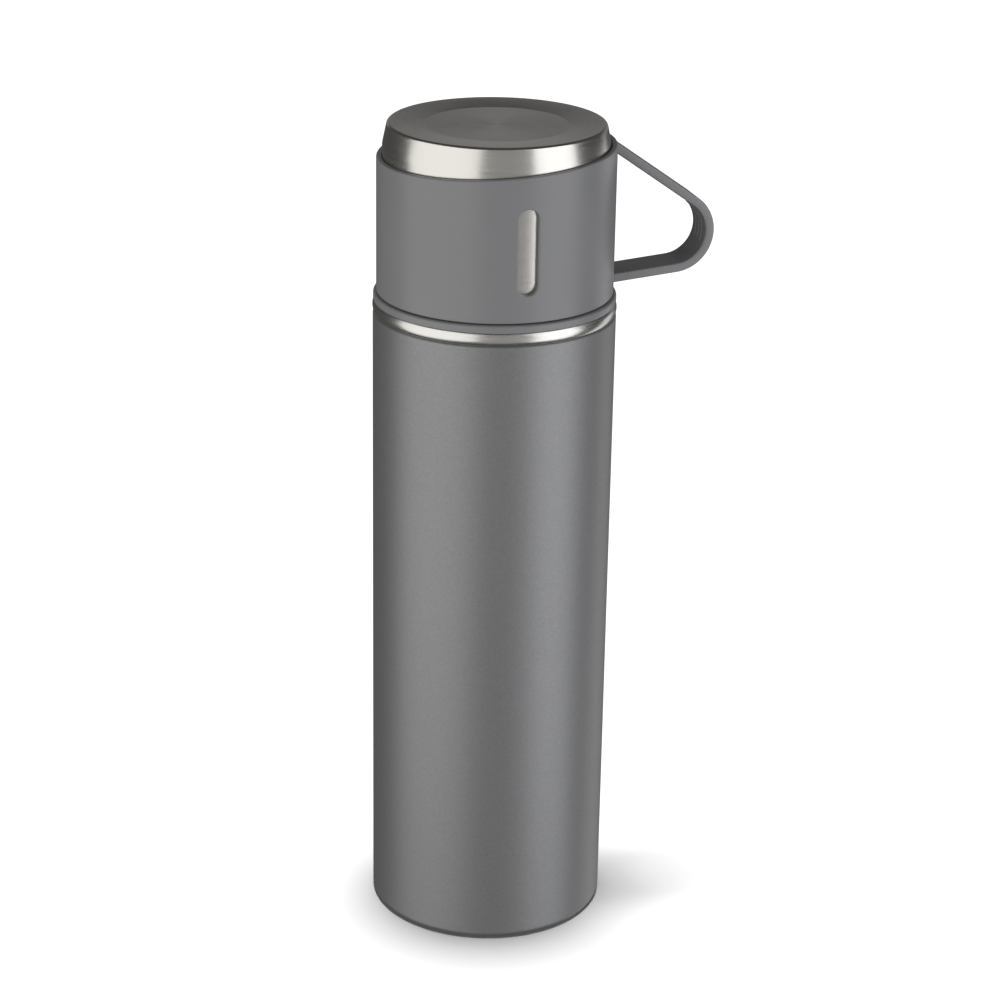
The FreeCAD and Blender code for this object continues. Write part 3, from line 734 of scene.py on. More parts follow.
@dataclass(frozen=True)
class ThreadLugs:
    """Three blunt screw lugs on a wall. Depth is positive outwards and negative inwards."""

    root: float
    depth: float
    lead: float
    width: float
    foot: float
    sweep: float = 80.0
    starts: int = 3
    taper: float = 0.8
    sunk: float = 0.25
    crest_edge: float = 0.15

    def section(self) -> Section:
        """Section of a lug about its root."""
        half, crest = self.width / 2, self.width / 2 - self.taper * abs(self.depth) / 2
        root = -math.copysign(self.sunk, self.depth)
        return rounded([
            Corner(root, -half), Corner(0, -half), Corner(self.depth, -crest, self.crest_edge),
            Corner(self.depth, crest, self.crest_edge), Corner(0, half), Corner(root, half)])

    def build(self, shop: Workshop, finish: Finish) -> Thing:
        """Make the lugs."""
        share = self.sweep / 360
        return shop.coil("lugs", self.section(), self.root, self.foot, self.lead * share, share, finish,
                         self.starts)


# ------------------------------------------------------------------------------------ bottle
@dataclass
class Bottle:
    """Double-walled bottle: painted wall, base disc with its solder bead, and the liner inside."""

    radius: float = 35.0
    wall: float = 0.5
    liner_radius: float = 32.1
    liner_wall: float = 0.4
    seat_radius: float = 30.4
    neck_radius: float = 24.2
    neck_liner_radius: float = 22.4
    funnel_drop: float = 13.0
    funnel_height: float = 9.5
    foil_sheet: float = 0.12
    foil_edge: float = 0.02
    neck_lugs: ThreadLugs = ThreadLugs(root=22.0, depth=-1.0, lead=9.0, width=1.5, foot=196.6)

    def painted_wall(self, shop: Workshop) -> None:
        """Wall, shoulder and neck, pressed and drawn from one tube."""
        seat = Seat.of("outer_shell")
        flange = Seat.of("outer_base").top
        shoulder = Seat.of("trim_band").foot - BOND_GAP
        path = [Corner(self.seat_radius, flange), Corner(self.seat_radius, 0, 1.0),
                Corner(self.radius, 0, 2.0), Corner(self.radius, shoulder, 0.8),
                Corner(self.neck_radius, shoulder, 1.0), Corner(self.neck_radius, seat.top)]
        piece = shop.turn("painted_wall", sheet(path, self.wall), BODY_PAINT)
        install(piece, Body.FLASK, "body_paint", "outer_shell")

    def base_disc(self, shop: Workshop) -> None:
        """Recessed steel disc that the bottle's vacuum is drawn through."""
        seat = Seat.of("outer_base")
        vent, dimple, rise, edge = 0.6, 6.0, 1.5, self.seat_radius - BOND_GAP
        path = [Corner(vent, seat.foot + rise), Corner(dimple, seat.foot + rise, 1.0),
                Corner(dimple + rise, seat.foot, 1.0), Corner(edge, seat.foot, 1.2), Corner(edge, seat.top)]
        piece = shop.turn("base_disc", sheet(path, self.wall), BASE_STEEL)
        install(piece, Body.FLASK, "base_steel", "outer_base")

    def solder_bead(self, shop: Workshop) -> None:
        """Bead of solder that seals the vent, set into the base's dimple."""
        seat = Seat.of("vacuum_plug")
        head, stem, face = 2.7, 0.57, seat.foot + 0.9
        section = rounded([Corner(0, seat.foot), Corner(head, seat.foot, 0.8), Corner(head, face),
                           Corner(stem, face), Corner(stem, seat.top, 0.2), Corner(0, seat.top)], False)
        piece = shop.turn("solder_bead", section, SOLDER, closed=False)
        install(piece, Body.FLASK, "solder", "vacuum_plug")

    def liner(self, shop: Workshop) -> None:
        """Inner bottle with its funnel, neck and thread, and its welded bottom dish."""
        dish, tube = Seat.of("liner_base"), Seat.of("inner_liner")
        shoulder = Seat.of("trim_band").foot - BOND_GAP
        funnel = shoulder - self.funnel_drop
        seam = tube.foot - BOND_GAP
        bottom = sheet([Corner(0, dish.foot), Corner(self.liner_radius, dish.foot, 4.0),
                        Corner(self.liner_radius, seam)], self.liner_wall, closed=False)
        piece = shop.turn("liner_dish", bottom, LINER_STEEL, closed=False)
        install(piece, Body.FLASK, "liner_steel", "liner_base")
        lip = tube.top - self.liner_wall
        path = [Corner(self.liner_radius, tube.foot), Corner(self.liner_radius, funnel, 6.0),
                Corner(self.neck_liner_radius, funnel + self.funnel_height, 4.0),
                Corner(self.neck_liner_radius, lip, 0.5), Corner(self.neck_radius, lip)]
        wall = shop.turn("wall", sheet(path, self.liner_wall), LINER_STEEL)
        piece = shop.joined("liner", [wall, self.neck_lugs.build(shop, LINER_STEEL)])
        install(piece, Body.FLASK, "liner_steel", "inner_liner")

    def foil(self, shop: Workshop) -> None:
        """Foil round the liner that turns heat back."""
        seat = Seat.of("foil_wrap")
        inner = self.liner_radius + BOND_GAP
        section = ring(inner, inner + self.foil_sheet, seat.foot, seat.top, self.foil_edge)
        piece = shop.turn("foil", section, FOIL)
        install(piece, Body.FLASK, "foil", "foil_wrap")

    def sealed_parts(self) -> None:
        """Getter and its clip, which stay as the CAD has them and take their metals."""
        for node, finish in (("getter", GETTER_POWDER), ("getter_clip", CLIP_METAL)):
            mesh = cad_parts[node].data
            mesh.materials.clear()
            mesh.materials.append(finish.material())

    def build(self, shop: Workshop) -> None:
        """Make every piece of the bottle."""
        self.painted_wall(shop)
        self.base_disc(shop)
        self.solder_bead(shop)
        self.liner(shop)
        self.foil(shop)
        self.sealed_parts()


@dataclass
class Collar:
    """Bright band on the shoulder, and the plastic collar that carries the cup's thread."""

    band_edge: float = 34.6
    band_sheet: float = 0.6
    band_corner: float = 0.12
    bulge: float = 0.5
    bulge_steps: int = 16
    ring_gap: float = 0.12
    ring_height: float = 2.25
    ring_radius: float = 34.9
    boss_radius: float = 27.38
    neck_bore: float = 24.23
    skirt_wall: float = 1.4
    lugs: ThreadLugs = ThreadLugs(root=27.38, depth=1.0, lead=12.0, width=1.9, foot=197.1)

    def band(self, shop: Workshop) -> None:
        """Rolled steel band with a slightly bulging face."""
        seat = Seat.of("trim_band")
        middle, half = (seat.foot + seat.top) / 2, (seat.top - seat.foot) / 2
        outside, inside = [], []
        for step in range(self.bulge_steps + 1):
            share = step / self.bulge_steps * 2 - 1
            x, height = self.band_edge + self.bulge * (1 - share * share), middle + share * half
            outside.append(Corner(x, height, self.band_corner if abs(share) == 1 else 0))
            inside.append(Corner(x - self.band_sheet, height))
        piece = shop.turn("band", rounded([*outside, *reversed(inside)]), BAND_STEEL)
        install(piece, Body.FLASK, "band_steel", "trim_band")

    def collar(self, shop: Workshop) -> None:
        """Collar: a ring above the band, a boss round the neck and a skirt behind the band."""
        seat = Seat.of("neck_collar")
        ring_foot = Seat.of("trim_band").top + self.ring_gap
        ring_top = ring_foot + self.ring_height
        boss_foot = Seat.of("collar_gasket").top + BOND_GAP
        skirt = self.band_edge - self.band_sheet - BOND_GAP
        chamfer, thick = 1.2, 1.0
        outline = rounded([
            Corner(self.neck_bore + chamfer, boss_foot), Corner(self.neck_bore, boss_foot + chamfer),
            Corner(self.neck_bore, seat.top, 0.3), Corner(self.boss_radius, seat.top, 0.5),
            Corner(self.boss_radius, ring_top, 0.4), Corner(self.ring_radius, ring_top, 0.7),
            Corner(self.ring_radius, ring_foot, 0.3), Corner(skirt, ring_foot), Corner(skirt, seat.foot),
            Corner(skirt - self.skirt_wall, seat.foot), Corner(skirt - self.skirt_wall, ring_foot),
            Corner(self.boss_radius + thick, ring_foot), Corner(self.boss_radius + thick, boss_foot)])
        body = shop.turn("body", outline, GREY_PLASTIC)
        piece = shop.joined("collar", [body, self.lugs.build(shop, GREY_PLASTIC)])
        install(piece, Body.FLASK, "grey_plastic", "neck_collar")

    def gasket(self, shop: Workshop) -> None:
        """Flat seal between the shoulder and the collar."""
        seat = Seat.of("collar_gasket")
        piece = shop.turn("shoulder_gasket", ring(25.5, 28.28, seat.foot, seat.top, 0.1), SILICONE)
        install(piece, Body.FLASK, "silicone", "collar_gasket")

    def build(self, shop: Workshop) -> None:
        """Make every piece of the collar."""
        self.band(shop)
        self.collar(shop)
        self.gasket(shop)


# ------------------------------------------------------------------------------------ cup
def strap_tree() -> Tree:
    """Tree that sweeps a rectangle with rounded corners along a path in a plane."""
    tree = new_tree("Swept strap", {
        "Width": "NodeSocketFloat", "Thickness": "NodeSocketFloat", "Edge radius": "NodeSocketFloat",
        "Corner points": "NodeSocketInt"})
    given = tree.nodes["Group Input"].outputs
    path = add_node(tree, "GeometryNodeMeshToCurve", {"Mesh": given["Shape"]})
    sheet_shape = add_node(tree, "GeometryNodeCurvePrimitiveQuadrilateral", {
        "Width": given["Width"], "Height": given["Thickness"]})
    section = add_node(tree, "GeometryNodeFilletCurve", {
        "Curve": sheet_shape.outputs[0], "Radius": given["Edge radius"], "Count": given["Corner points"]},
        mode="POLY")
    strap = add_node(tree, "GeometryNodeCurveToMesh", {
        "Curve": path.outputs[0], "Profile Curve": section.outputs[0], "Fill Caps": True})
    return close_tree(tree, strap.outputs[0])


@dataclass(frozen=True)
class Handle:
    """Strap handle: two straight arms tangent to one round bend, with ribs inside the bend."""

    width: float = 11.5
    thickness: float = 2.65
    edge: float = 0.5
    bend: float = 12.0
    centre_x: float = 52.0
    centre_rise: float = 15.0
    wall: float = 34.0
    upper_root: float = 235.38
    lower_rise: float = 1.2
    root_depth: float = 0.775
    rib_count: int = 3
    rib_spacing: float = 2.6
    rib_sweep: float = 80.0
    rib_lift: float = 15.0

    def arms(self, foot: float) -> list[tuple[float, float, float]]:
        """Headings of the two arms, as (wall height, heading, angle of the tangent point on the bend)."""
        found = []
        centre = Vector((self.centre_x, foot + self.centre_rise))
        for height, side in ((self.upper_root, 1), (foot + self.lower_rise, -1)):
            away = centre - Vector((self.wall, height))
            heading = math.atan2(away.y, away.x) + side * math.asin(self.bend / away.length)
            found.append((height, heading, heading + side * math.pi / 2))
        return found

    def middle_line(self, foot: float) -> list[Vector]:
        """Line along the middle of the strap, starting and ending inside the sleeve's wall."""
        (high, _, first), (low, _, last) = self.arms(foot)
        centre = Vector((self.centre_x, foot + self.centre_rise))
        middle = self.bend - self.thickness / 2
        steps = 40
        bend = [centre + middle * Vector((math.cos(turn), math.sin(turn)))
                for turn in (first + (last - first) * step / steps for step in range(steps + 1))]
        inward = 8.0
        upper, lower = self.arms(foot)
        start = Vector((self.wall, high)) + (middle - self.bend) * Vector((math.cos(first), math.sin(first)))
        end = Vector((self.wall, low)) + (middle - self.bend) * Vector((math.cos(last), math.sin(last)))
        start -= inward * Vector((math.cos(upper[1]), math.sin(upper[1])))
        end -= inward * Vector((math.cos(lower[1]), math.sin(lower[1])))
        return [start, *self.between(start, bend[0]), *bend, *self.between(bend[-1], end), end]

    def between(self, start: Vector, end: Vector, pitch: float = 1.5) -> list[Vector]:
        """Points along a straight arm, so that its faces stay short."""
        count = max(1, round((end - start).length / pitch))
        return [start.lerp(end, step / count) for step in range(1, count)]

    def strap(self, shop: Workshop, foot: float) -> Thing:
        """The strap, cut upright where it enters the sleeve's wall."""
        line = [(point.x * MM, 0, point.y * MM) for point in self.middle_line(foot)]
        host = shop.mesh_object("line", line, linked(len(line)))
        made = shop.grown("strap", host, strap_tree(), GREY_PLASTIC, {
            "Width": self.width * MM, "Thickness": self.thickness * MM, "Edge radius": self.edge * MM,
            "Corner points": 5})
        shaped = bmesh.new()
        shaped.from_mesh(made.data)
        root = (self.wall - self.root_depth) * MM
        cut = bmesh.ops.bisect_plane(
            shaped, geom=[*shaped.verts, *shaped.edges, *shaped.faces], plane_co=(root, 0, 0),
            plane_no=(1, 0, 0), clear_inner=True)
        rim = [part for part in cut["geom_cut"] if isinstance(part, bmesh.types.BMEdge)]
        bmesh.ops.edgeloop_fill(shaped, edges=rim)
        bmesh.ops.recalc_face_normals(shaped, faces=shaped.faces)
        shaped.to_mesh(made.data)
        shaped.free()
        return made

    def ribs(self, shop: Workshop, foot: float) -> Thing:
        """Fine ribs along the inside of the bend, whose ends run out into the strap."""
        inner = self.bend - self.thickness
        run_out, height, sunk, width = 0.5, 0.3, 0.3, 0.7
        steps = 28
        line = []
        for step in range(steps + 1):
            share = step / steps * 2 - 1
            turn = math.radians(self.rib_lift + share * self.rib_sweep / 2)
            fade = max(0.0, abs(share) - 0.8) / 0.2
            radius = inner - (height - sunk) / 2 + run_out * fade * fade
            line.append(((self.centre_x + radius * math.cos(turn)) * MM, -self.rib_spacing * MM,
                         (foot + self.centre_rise + radius * math.sin(turn)) * MM))
        host = shop.mesh_object("line", line, linked(len(line)))
        rib = shop.grown("rib", host, strap_tree(), GREY_PLASTIC, {
            "Width": width * MM, "Thickness": (height + sunk) * MM, "Edge radius": 0.25 * MM,
            "Corner points": 4})
        return shop.grown("ribs", rib, shop.row, GREY_PLASTIC, {
            "Count": self.rib_count, "Spacing": (0, self.rib_spacing * MM, 0)})


@dataclass
class Cup:
    """Steel cup in a plastic sleeve with a window, a handle and a threaded ring inside."""

    radius: float = 32.35
    wall: float = 0.5
    sleeve_radius: float = 34.0
    sleeve_wall: float = 1.55
    sleeve_height: float = 41.2
    rim_slope: float = 3.67
    ledge_width: float = 0.85
    ledge_height: float = 0.55
    window_width: float = 5.9
    window_height: float = 24.4
    window_drop: float = 0.6
    window_lip: float = 0.35
    ring_bore: float = 28.78
    ring_height: float = 9.5
    groove_margin: float = 0.4
    lugs: ThreadLugs = ThreadLugs(root=28.78, depth=-1.0, lead=12.0, width=1.9, foot=195.1)
    handle: Handle = Handle()

    def steel_cup(self, shop: Workshop) -> None:
        """Drawn steel cup: straight wall, tapered crown and a shallow dish for its bottom."""
        seat = Seat.of("steel_cup")
        dish_depth = 0.75
        path = [Corner(self.radius, seat.foot), Corner(self.radius, seat.top - 6.4, 8.0),
                Corner(self.radius - 1.35, seat.top, 0.9), Corner(20.5, seat.top - dish_depth, 8.0),
                Corner(0, seat.top - dish_depth)]
        piece = shop.turn("cup_shell", sheet(path, self.wall, closed=False), CUP_STEEL, closed=False)
        install(piece, Body.CUP, "cup_steel", "steel_cup")

    def sleeve_tube(self, shop: Workshop, foot: float) -> Thing:
        """Sleeve's wall, whose rim slants up towards the handle."""
        bore = self.sleeve_radius - self.sleeve_wall
        ledge = foot + self.ledge_height
        rim = foot + self.sleeve_height
        edge = 0.465
        outline = rounded([
            Corner(bore - self.ledge_width, foot, 0.15), Corner(self.sleeve_radius, foot, 0.4),
            *straight(self.sleeve_radius, foot, rim), Corner(self.sleeve_radius, rim, edge),
            Corner(bore, rim, edge), *straight(bore, rim, ledge),
            Corner(bore, ledge), Corner(bore - self.ledge_width, ledge)])
        tube = shop.turn("tube", outline, GREY_PLASTIC)
        slope = math.tan(math.radians(self.rim_slope))
        for vertex in tube.data.vertices:
            share = max(0.0, vertex.co.z / MM - foot) / self.sleeve_height
            vertex.co.z += vertex.co.x * slope * min(share, 1.0)
        return tube

    def window_tool(self, shop: Workshop, foot: float) -> Thing:
        """Slot with round ends whose mouth flares, following the sleeve, into a rounded lip."""
        middle = foot + self.sleeve_height / 2 - self.window_drop
        half = self.window_width / 2
        reach = (self.window_height - self.window_width) / 2
        lip = self.window_lip
        quarter = [math.pi / 2 * step / 6 for step in range(7)]
        layers = [(self.sleeve_radius + 1.0, lip)]
        layers += [(self.sleeve_radius - lip + lip * math.cos(turn), lip * (1 - math.sin(turn)))
                   for turn in quarter]
        layers.append((self.sleeve_radius - self.sleeve_wall - 1.0, 0.0))
        round_steps = 24
        turns = [math.pi * step / round_steps for step in range(round_steps + 1)]
        points = []
        for radius, offset in layers:
            outline = [((half + offset) * math.cos(turn), reach + (half + offset) * math.sin(turn))
                       for turn in turns]
            outline += [(-x, -rise) for x, rise in outline]
            for x, rise in outline:
                points.append((x * MM, -math.sqrt(radius * radius - x * x) * MM, (middle + rise) * MM))
        size = 2 * len(turns)
        faces = [list(range(size)), list(range(len(points) - size, len(points)))]
        for layer in range(len(layers) - 1):
            for place in range(size):
                ahead = (place + 1) % size
                faces.append([layer * size + place, layer * size + ahead,
                              (layer + 1) * size + ahead, (layer + 1) * size + place])
        tool = shop.mesh_object("window", points, faces=faces)
        shaped = bmesh.new()
        shaped.from_mesh(tool.data)
        bmesh.ops.recalc_face_normals(shaped, faces=shaped.faces)
        shaped.to_mesh(tool.data)
        shaped.free()
        tool.data.materials.append(GREY_PLASTIC.material())
        return tool

    def sleeve(self, shop: Workshop) -> None:
        """Sleeve with its window cut and its handle moulded on."""
        foot = Seat.of("cup_sleeve").foot
        tube = self.sleeve_tube(shop, foot)
        tube = shop.cut(tube, [self.window_tool(shop, foot)])
        strap = shop.cut(self.handle.strap(shop, foot), [self.handle.ribs(shop, foot)], "UNION")
        piece = shop.cut(tube, [strap], "UNION")
        piece.name = "sleeve"
        install(piece, Body.CUP, "grey_plastic", "cup_sleeve")

    def thread_ring(self, shop: Workshop) -> None:
        """Ring bonded into the cup's mouth, with lugs inside and a groove for the seal."""
        seat = Seat.of("cup_thread_ring")
        outer = self.radius - self.wall - BOND_GAP
        margin = self.groove_margin
        groove_top = Seat.of("cup_gasket").top + BOND_GAP
        section = rounded([
            Corner(self.ring_bore, seat.foot, 0.1), Corner(self.ring_bore + margin, seat.foot, 0.1),
            Corner(self.ring_bore + margin, groove_top), Corner(outer - margin, groove_top),
            Corner(outer - margin, seat.foot, 0.1), Corner(outer, seat.foot, 0.1),
            Corner(outer, seat.foot + self.ring_height, 0.3),
            Corner(self.ring_bore, seat.foot + self.ring_height, 0.5)])
        body = shop.turn("body", section, DARK_PLASTIC)
        piece = shop.joined("thread_ring", [body, self.lugs.build(shop, DARK_PLASTIC)])
        install(piece, Body.CUP, "dark_plastic", "cup_thread_ring")

    def gasket(self, shop: Workshop) -> None:
        """Seal that stays on the collar's face while the cup turns."""
        seat = Seat.of("cup_gasket")
        margin = self.groove_margin + BOND_GAP
        outer = self.radius - self.wall - BOND_GAP - margin
        piece = shop.turn("cup_seal", ring(self.ring_bore + margin, outer, seat.foot, seat.top, 0.25),
                          SILICONE)
        install(piece, Body.CUP_CARRIER, "silicone", "cup_gasket")

    def build(self, shop: Workshop) -> None:
        """Make every piece of the cup."""
        self.steel_cup(shop)
        self.sleeve(shop)
        self.thread_ring(shop)
        self.gasket(shop)


# ------------------------------------------------------------------------------------ stopper
@dataclass
class Stopper:
    """Screw stopper: head with spouts and grip flutes, threaded plug, cover and valve seat."""

    head_radius: float = 26.5
    head_wall: float = 2.0
    skirt_radius: float = 20.6
    skirt_wall: float = 2.0
    inner_wall_radius: float = 16.55
    button_bore: float = 14.55
    stem_bore: float = 2.5
    web: float = 2.2
    spout_width: float = 9.0
    spout_height: float = 3.0
    flute_radius: float = 0.7
    flutes_per_side: int = 12
    flute_step: float = 12.0
    window_count: int = 8
    window_radius: float = 0.875
    lugs: ThreadLugs = ThreadLugs(root=20.6, depth=1.0, lead=9.0, width=1.5, foot=195.1)

    def body(self, shop: Workshop) -> None:
        """Head and plug in one moulding, with its thread, spouts, windows and flutes."""
        seat = Seat.of("stopper_body")
        cover = Seat.of("stopper_cover").foot
        head_foot = Seat.of("stopper_gasket").top + SEAL_GAP
        web_top = head_foot + self.web
        wall_top = cover - BOND_GAP
        bore, skirt_bore = self.head_radius - self.head_wall, self.skirt_radius - self.skirt_wall
        ring_bore, groove = self.stem_bore + 1.1, 0.58
        web_middle = head_foot + self.web / 2
        outline = rounded([
            Corner(self.stem_bore, head_foot), Corner(skirt_bore, head_foot),
            Corner(skirt_bore, seat.foot, 0.1),
            Corner(self.skirt_radius, seat.foot, 0.6), Corner(self.skirt_radius, head_foot, 0.3),
            Corner(self.head_radius, head_foot, 0.5), Corner(self.head_radius, seat.top, 1.2),
            Corner(bore, seat.top, 0.15), Corner(bore, web_top, 0.5),
            Corner(self.inner_wall_radius, web_top, 0.5),
            Corner(self.inner_wall_radius, wall_top, 0.1), Corner(self.button_bore, wall_top, 0.1),
            Corner(self.button_bore, web_top, 0.5), Corner(self.stem_bore, web_top, 0.1),
            Corner(self.stem_bore, web_middle + groove), Corner(ring_bore, web_middle + groove),
            Corner(ring_bore, web_middle - groove), Corner(self.stem_bore, web_middle - groove)])
        blank = shop.turn("moulding", outline, DARK_PLASTIC)
        tools = [self.spout_tool(shop, web_top, cover), self.window_tool(shop, head_foot),
                 *self.flute_tools(shop, head_foot, seat.top)]
        shaped = shop.cut(blank, tools)
        piece = shop.joined("stopper_moulding", [shaped, self.lugs.build(shop, DARK_PLASTIC)])
        install(piece, Body.STOPPER, "dark_plastic", "stopper_body")

    def rod(self, shop: Workshop, name: str, radius: float, x: float, low: float, high: float,
            turn: float = 0.0) -> Thing:
        """Upright rod to cut with, x from the axis and turned about it by turn degrees."""
        sides = 32
        points = []
        for height in (low, high):
            for side in range(sides):
                angle = math.tau * side / sides
                spot = (x + radius * math.cos(angle), radius * math.sin(angle), height)
                points.append([size * MM for size in spot])
        made = shop.mesh_object(name, points, faces=loft_faces(sides))
        made.data.transform(Matrix.Rotation(math.radians(turn), 4, "Z"))
        return made

    def flute_tools(self, shop: Workshop, foot: float, top: float) -> list[Thing]:
        """Rods that cut the flutes of the head's grip, on the two sides without a spout."""
        tools = []
        for start in (24.0, 204.0):
            rod = self.rod(shop, "flute", self.flute_radius, self.head_radius + self.flute_radius / 2,
                           foot + 1.2, top - 1.8, start)
            tools.append(shop.grown("flutes", rod, shop.fan, DARK_PLASTIC, {
                "Count": self.flutes_per_side, "Step": math.radians(self.flute_step)}))
        return tools

    def window_tool(self, shop: Workshop, head_foot: float) -> Thing:
        """Rods that cut the windows which the drink flows through."""
        middle = (self.skirt_radius - self.skirt_wall + self.inner_wall_radius) / 2
        step = math.tau / self.window_count
        rod = self.rod(shop, "window", self.window_radius, middle, head_foot - 1.1, head_foot + 3.3,
                       math.degrees(step / 2))
        return shop.grown("windows", rod, shop.fan, DARK_PLASTIC, {"Count": self.window_count, "Step": step})

    def spout_tool(self, shop: Workshop, low: float, high: float) -> Thing:
        """Two blocks that cut the pouring slot and the air slot through the head's wall."""
        middle, half = (low + high) / 2, self.spout_height / 2
        near, far, side = self.head_radius - 3 * self.head_wall, self.head_radius + self.head_wall, 0.6
        flat = rounded([Corner(-self.spout_width / 2, -half, side), Corner(self.spout_width / 2, -half, side),
                        Corner(self.spout_width / 2, half, side), Corner(-self.spout_width / 2, half, side)])
        points = [(x * MM, across * MM, (middle + rise) * MM) for x in (near, far) for across, rise in flat]
        block = shop.mesh_object("spout", points, faces=loft_faces(len(flat)))
        return shop.grown("spouts", block, shop.fan, DARK_PLASTIC, {"Count": 2, "Step": math.pi})

    def rings(self, shop: Workshop) -> None:
        """Cover, gasket, valve seat and stem seal, which are plain turned rings."""
        rows = (
            ("cover", "stopper_cover", 13.35, 24.47, 0.3, DARK_PLASTIC, "dark_plastic"),
            ("lip_gasket", "stopper_gasket", 21.1, 24.0, 0.2, SILICONE, "silicone"),
            ("seat_ring", "valve_seat", 8.0, 18.57, 0.25, DARK_PLASTIC, "dark_plastic"),
            ("stem_seal", "stem_ring", 2.5, 3.57, 0.5, SILICONE, "silicone"))
        for name, node, inner, outer, edge, finish, slot in rows:
            seat = Seat.of(node)
            piece = shop.turn(name, ring(inner, outer, seat.foot, seat.top, edge), finish)
            install(piece, Body.STOPPER, slot, node)

    def spring(self, shop: Workshop) -> None:
        """Coil spring under the button, made at its rest length; the real one shortens as the button goes
        down, this mesh does not.
        """
        wire, turns, radius, sides = 0.45, 4.5, 7.85, 16
        low = Seat.of("stopper_gasket").top + SEAL_GAP + self.web + BOND_GAP
        high = Seat.of("push_button").top - 1.5 - BOND_GAP
        section = [(wire * math.cos(math.tau * side / sides), wire * math.sin(math.tau * side / sides))
                   for side in range(sides)]
        piece = shop.coil("spring", section, radius, low + wire, high - low - 2 * wire, turns, SPRING_STEEL)
        install(piece, Body.STOPPER, "spring_steel", "button_spring")
        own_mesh(piece)

    def build(self, shop: Workshop) -> None:
        """Make every piece of the stopper."""
        self.body(shop)
        self.rings(shop)
        self.spring(shop)


@dataclass
class Button:
    """Push button, its stem, and the valve plug that it lifts off its seat."""

    radius: float = 13.0
    wall: float = 1.5
    flange_radius: float = 14.2
    flange_height: float = 1.7
    boss_radius: float = 4.2
    stem_radius: float = 2.45
    dish_depth: float = 0.35

    def cap(self, shop: Workshop) -> None:
        """Button with a shallow dish for the thumb."""
        seat = Seat.of("push_button")
        flange_top = Seat.of("stopper_cover").foot - 0.3
        flange_foot = flange_top - self.flange_height
        plate = seat.top - self.wall
        bore = self.radius - self.wall
        stem = self.stem_radius + BOND_GAP
        dish = seat.top - self.dish_depth
        section = rounded([
            Corner(0, plate), Corner(stem, plate), Corner(stem, seat.foot),
            Corner(self.boss_radius, seat.foot, 0.3),
            Corner(self.boss_radius, plate, 0.3), Corner(bore, plate, 0.4), Corner(bore, flange_foot),
            Corner(self.flange_radius, flange_foot, 0.2), Corner(self.flange_radius, flange_top, 0.2),
            Corner(self.radius, flange_top, 0.1), Corner(self.radius, seat.top, 0.9),
            Corner(self.radius - 2.2, seat.top, 1.5), Corner(self.radius - 6.0, dish, 4.0), Corner(0, dish)],
            False)
        piece = shop.turn("button_cap", section, BUTTON_PLASTIC, closed=False)
        install(piece, Body.BUTTON, "button_plastic", "push_button")

    def stem(self, shop: Workshop) -> None:
        """Round stem from the button down to the valve plug."""
        seat = Seat.of("valve_stem")
        section = rounded([Corner(0, seat.foot), Corner(self.stem_radius, seat.foot, 0.2),
                           Corner(self.stem_radius, seat.top, 0.2), Corner(0, seat.top)], False)
        piece = shop.turn("stem", section, BUTTON_PLASTIC, closed=False)
        install(piece, Body.BUTTON, "button_plastic", "valve_stem")

    def valve(self, shop: Workshop) -> None:
        """Valve plug and its seal."""
        seat, seal = Seat.of("valve_plug"), Seat.of("valve_seal")
        stem = self.stem_radius + BOND_GAP
        pocket = (seat.foot + seat.top) / 2 - BOND_GAP
        section = rounded([Corner(0, seat.foot), Corner(9.5, seat.foot, 0.8), Corner(9.5, seat.top, 0.3),
                           Corner(stem, seat.top), Corner(stem, pocket), Corner(0, pocket)], False)
        piece = shop.turn("plug", section, BUTTON_PLASTIC, closed=False)
        install(piece, Body.BUTTON, "button_plastic", "valve_plug")
        piece = shop.turn("plug_seal", ring(7.7, 9.4, seal.foot, seal.top, 0.2), SILICONE)
        install(piece, Body.BUTTON, "silicone", "valve_seal")

    def build(self, shop: Workshop) -> None:
        """Make every piece of the button."""
        self.cap(shop)
        self.stem(shop)
        self.valve(shop)


# ------------------------------------------------------------------------------------ studio
@dataclass(frozen=True)
class Softbox:
    """Area light that faces a point on the flask's axis. Azimuth is counted from the camera's side."""

    name: str
    azimuth: float
    elevation: float
    distance: float
    width: float
    height: float
    power: float
    colour: str = "#ffffff"
    target: float = 0.13


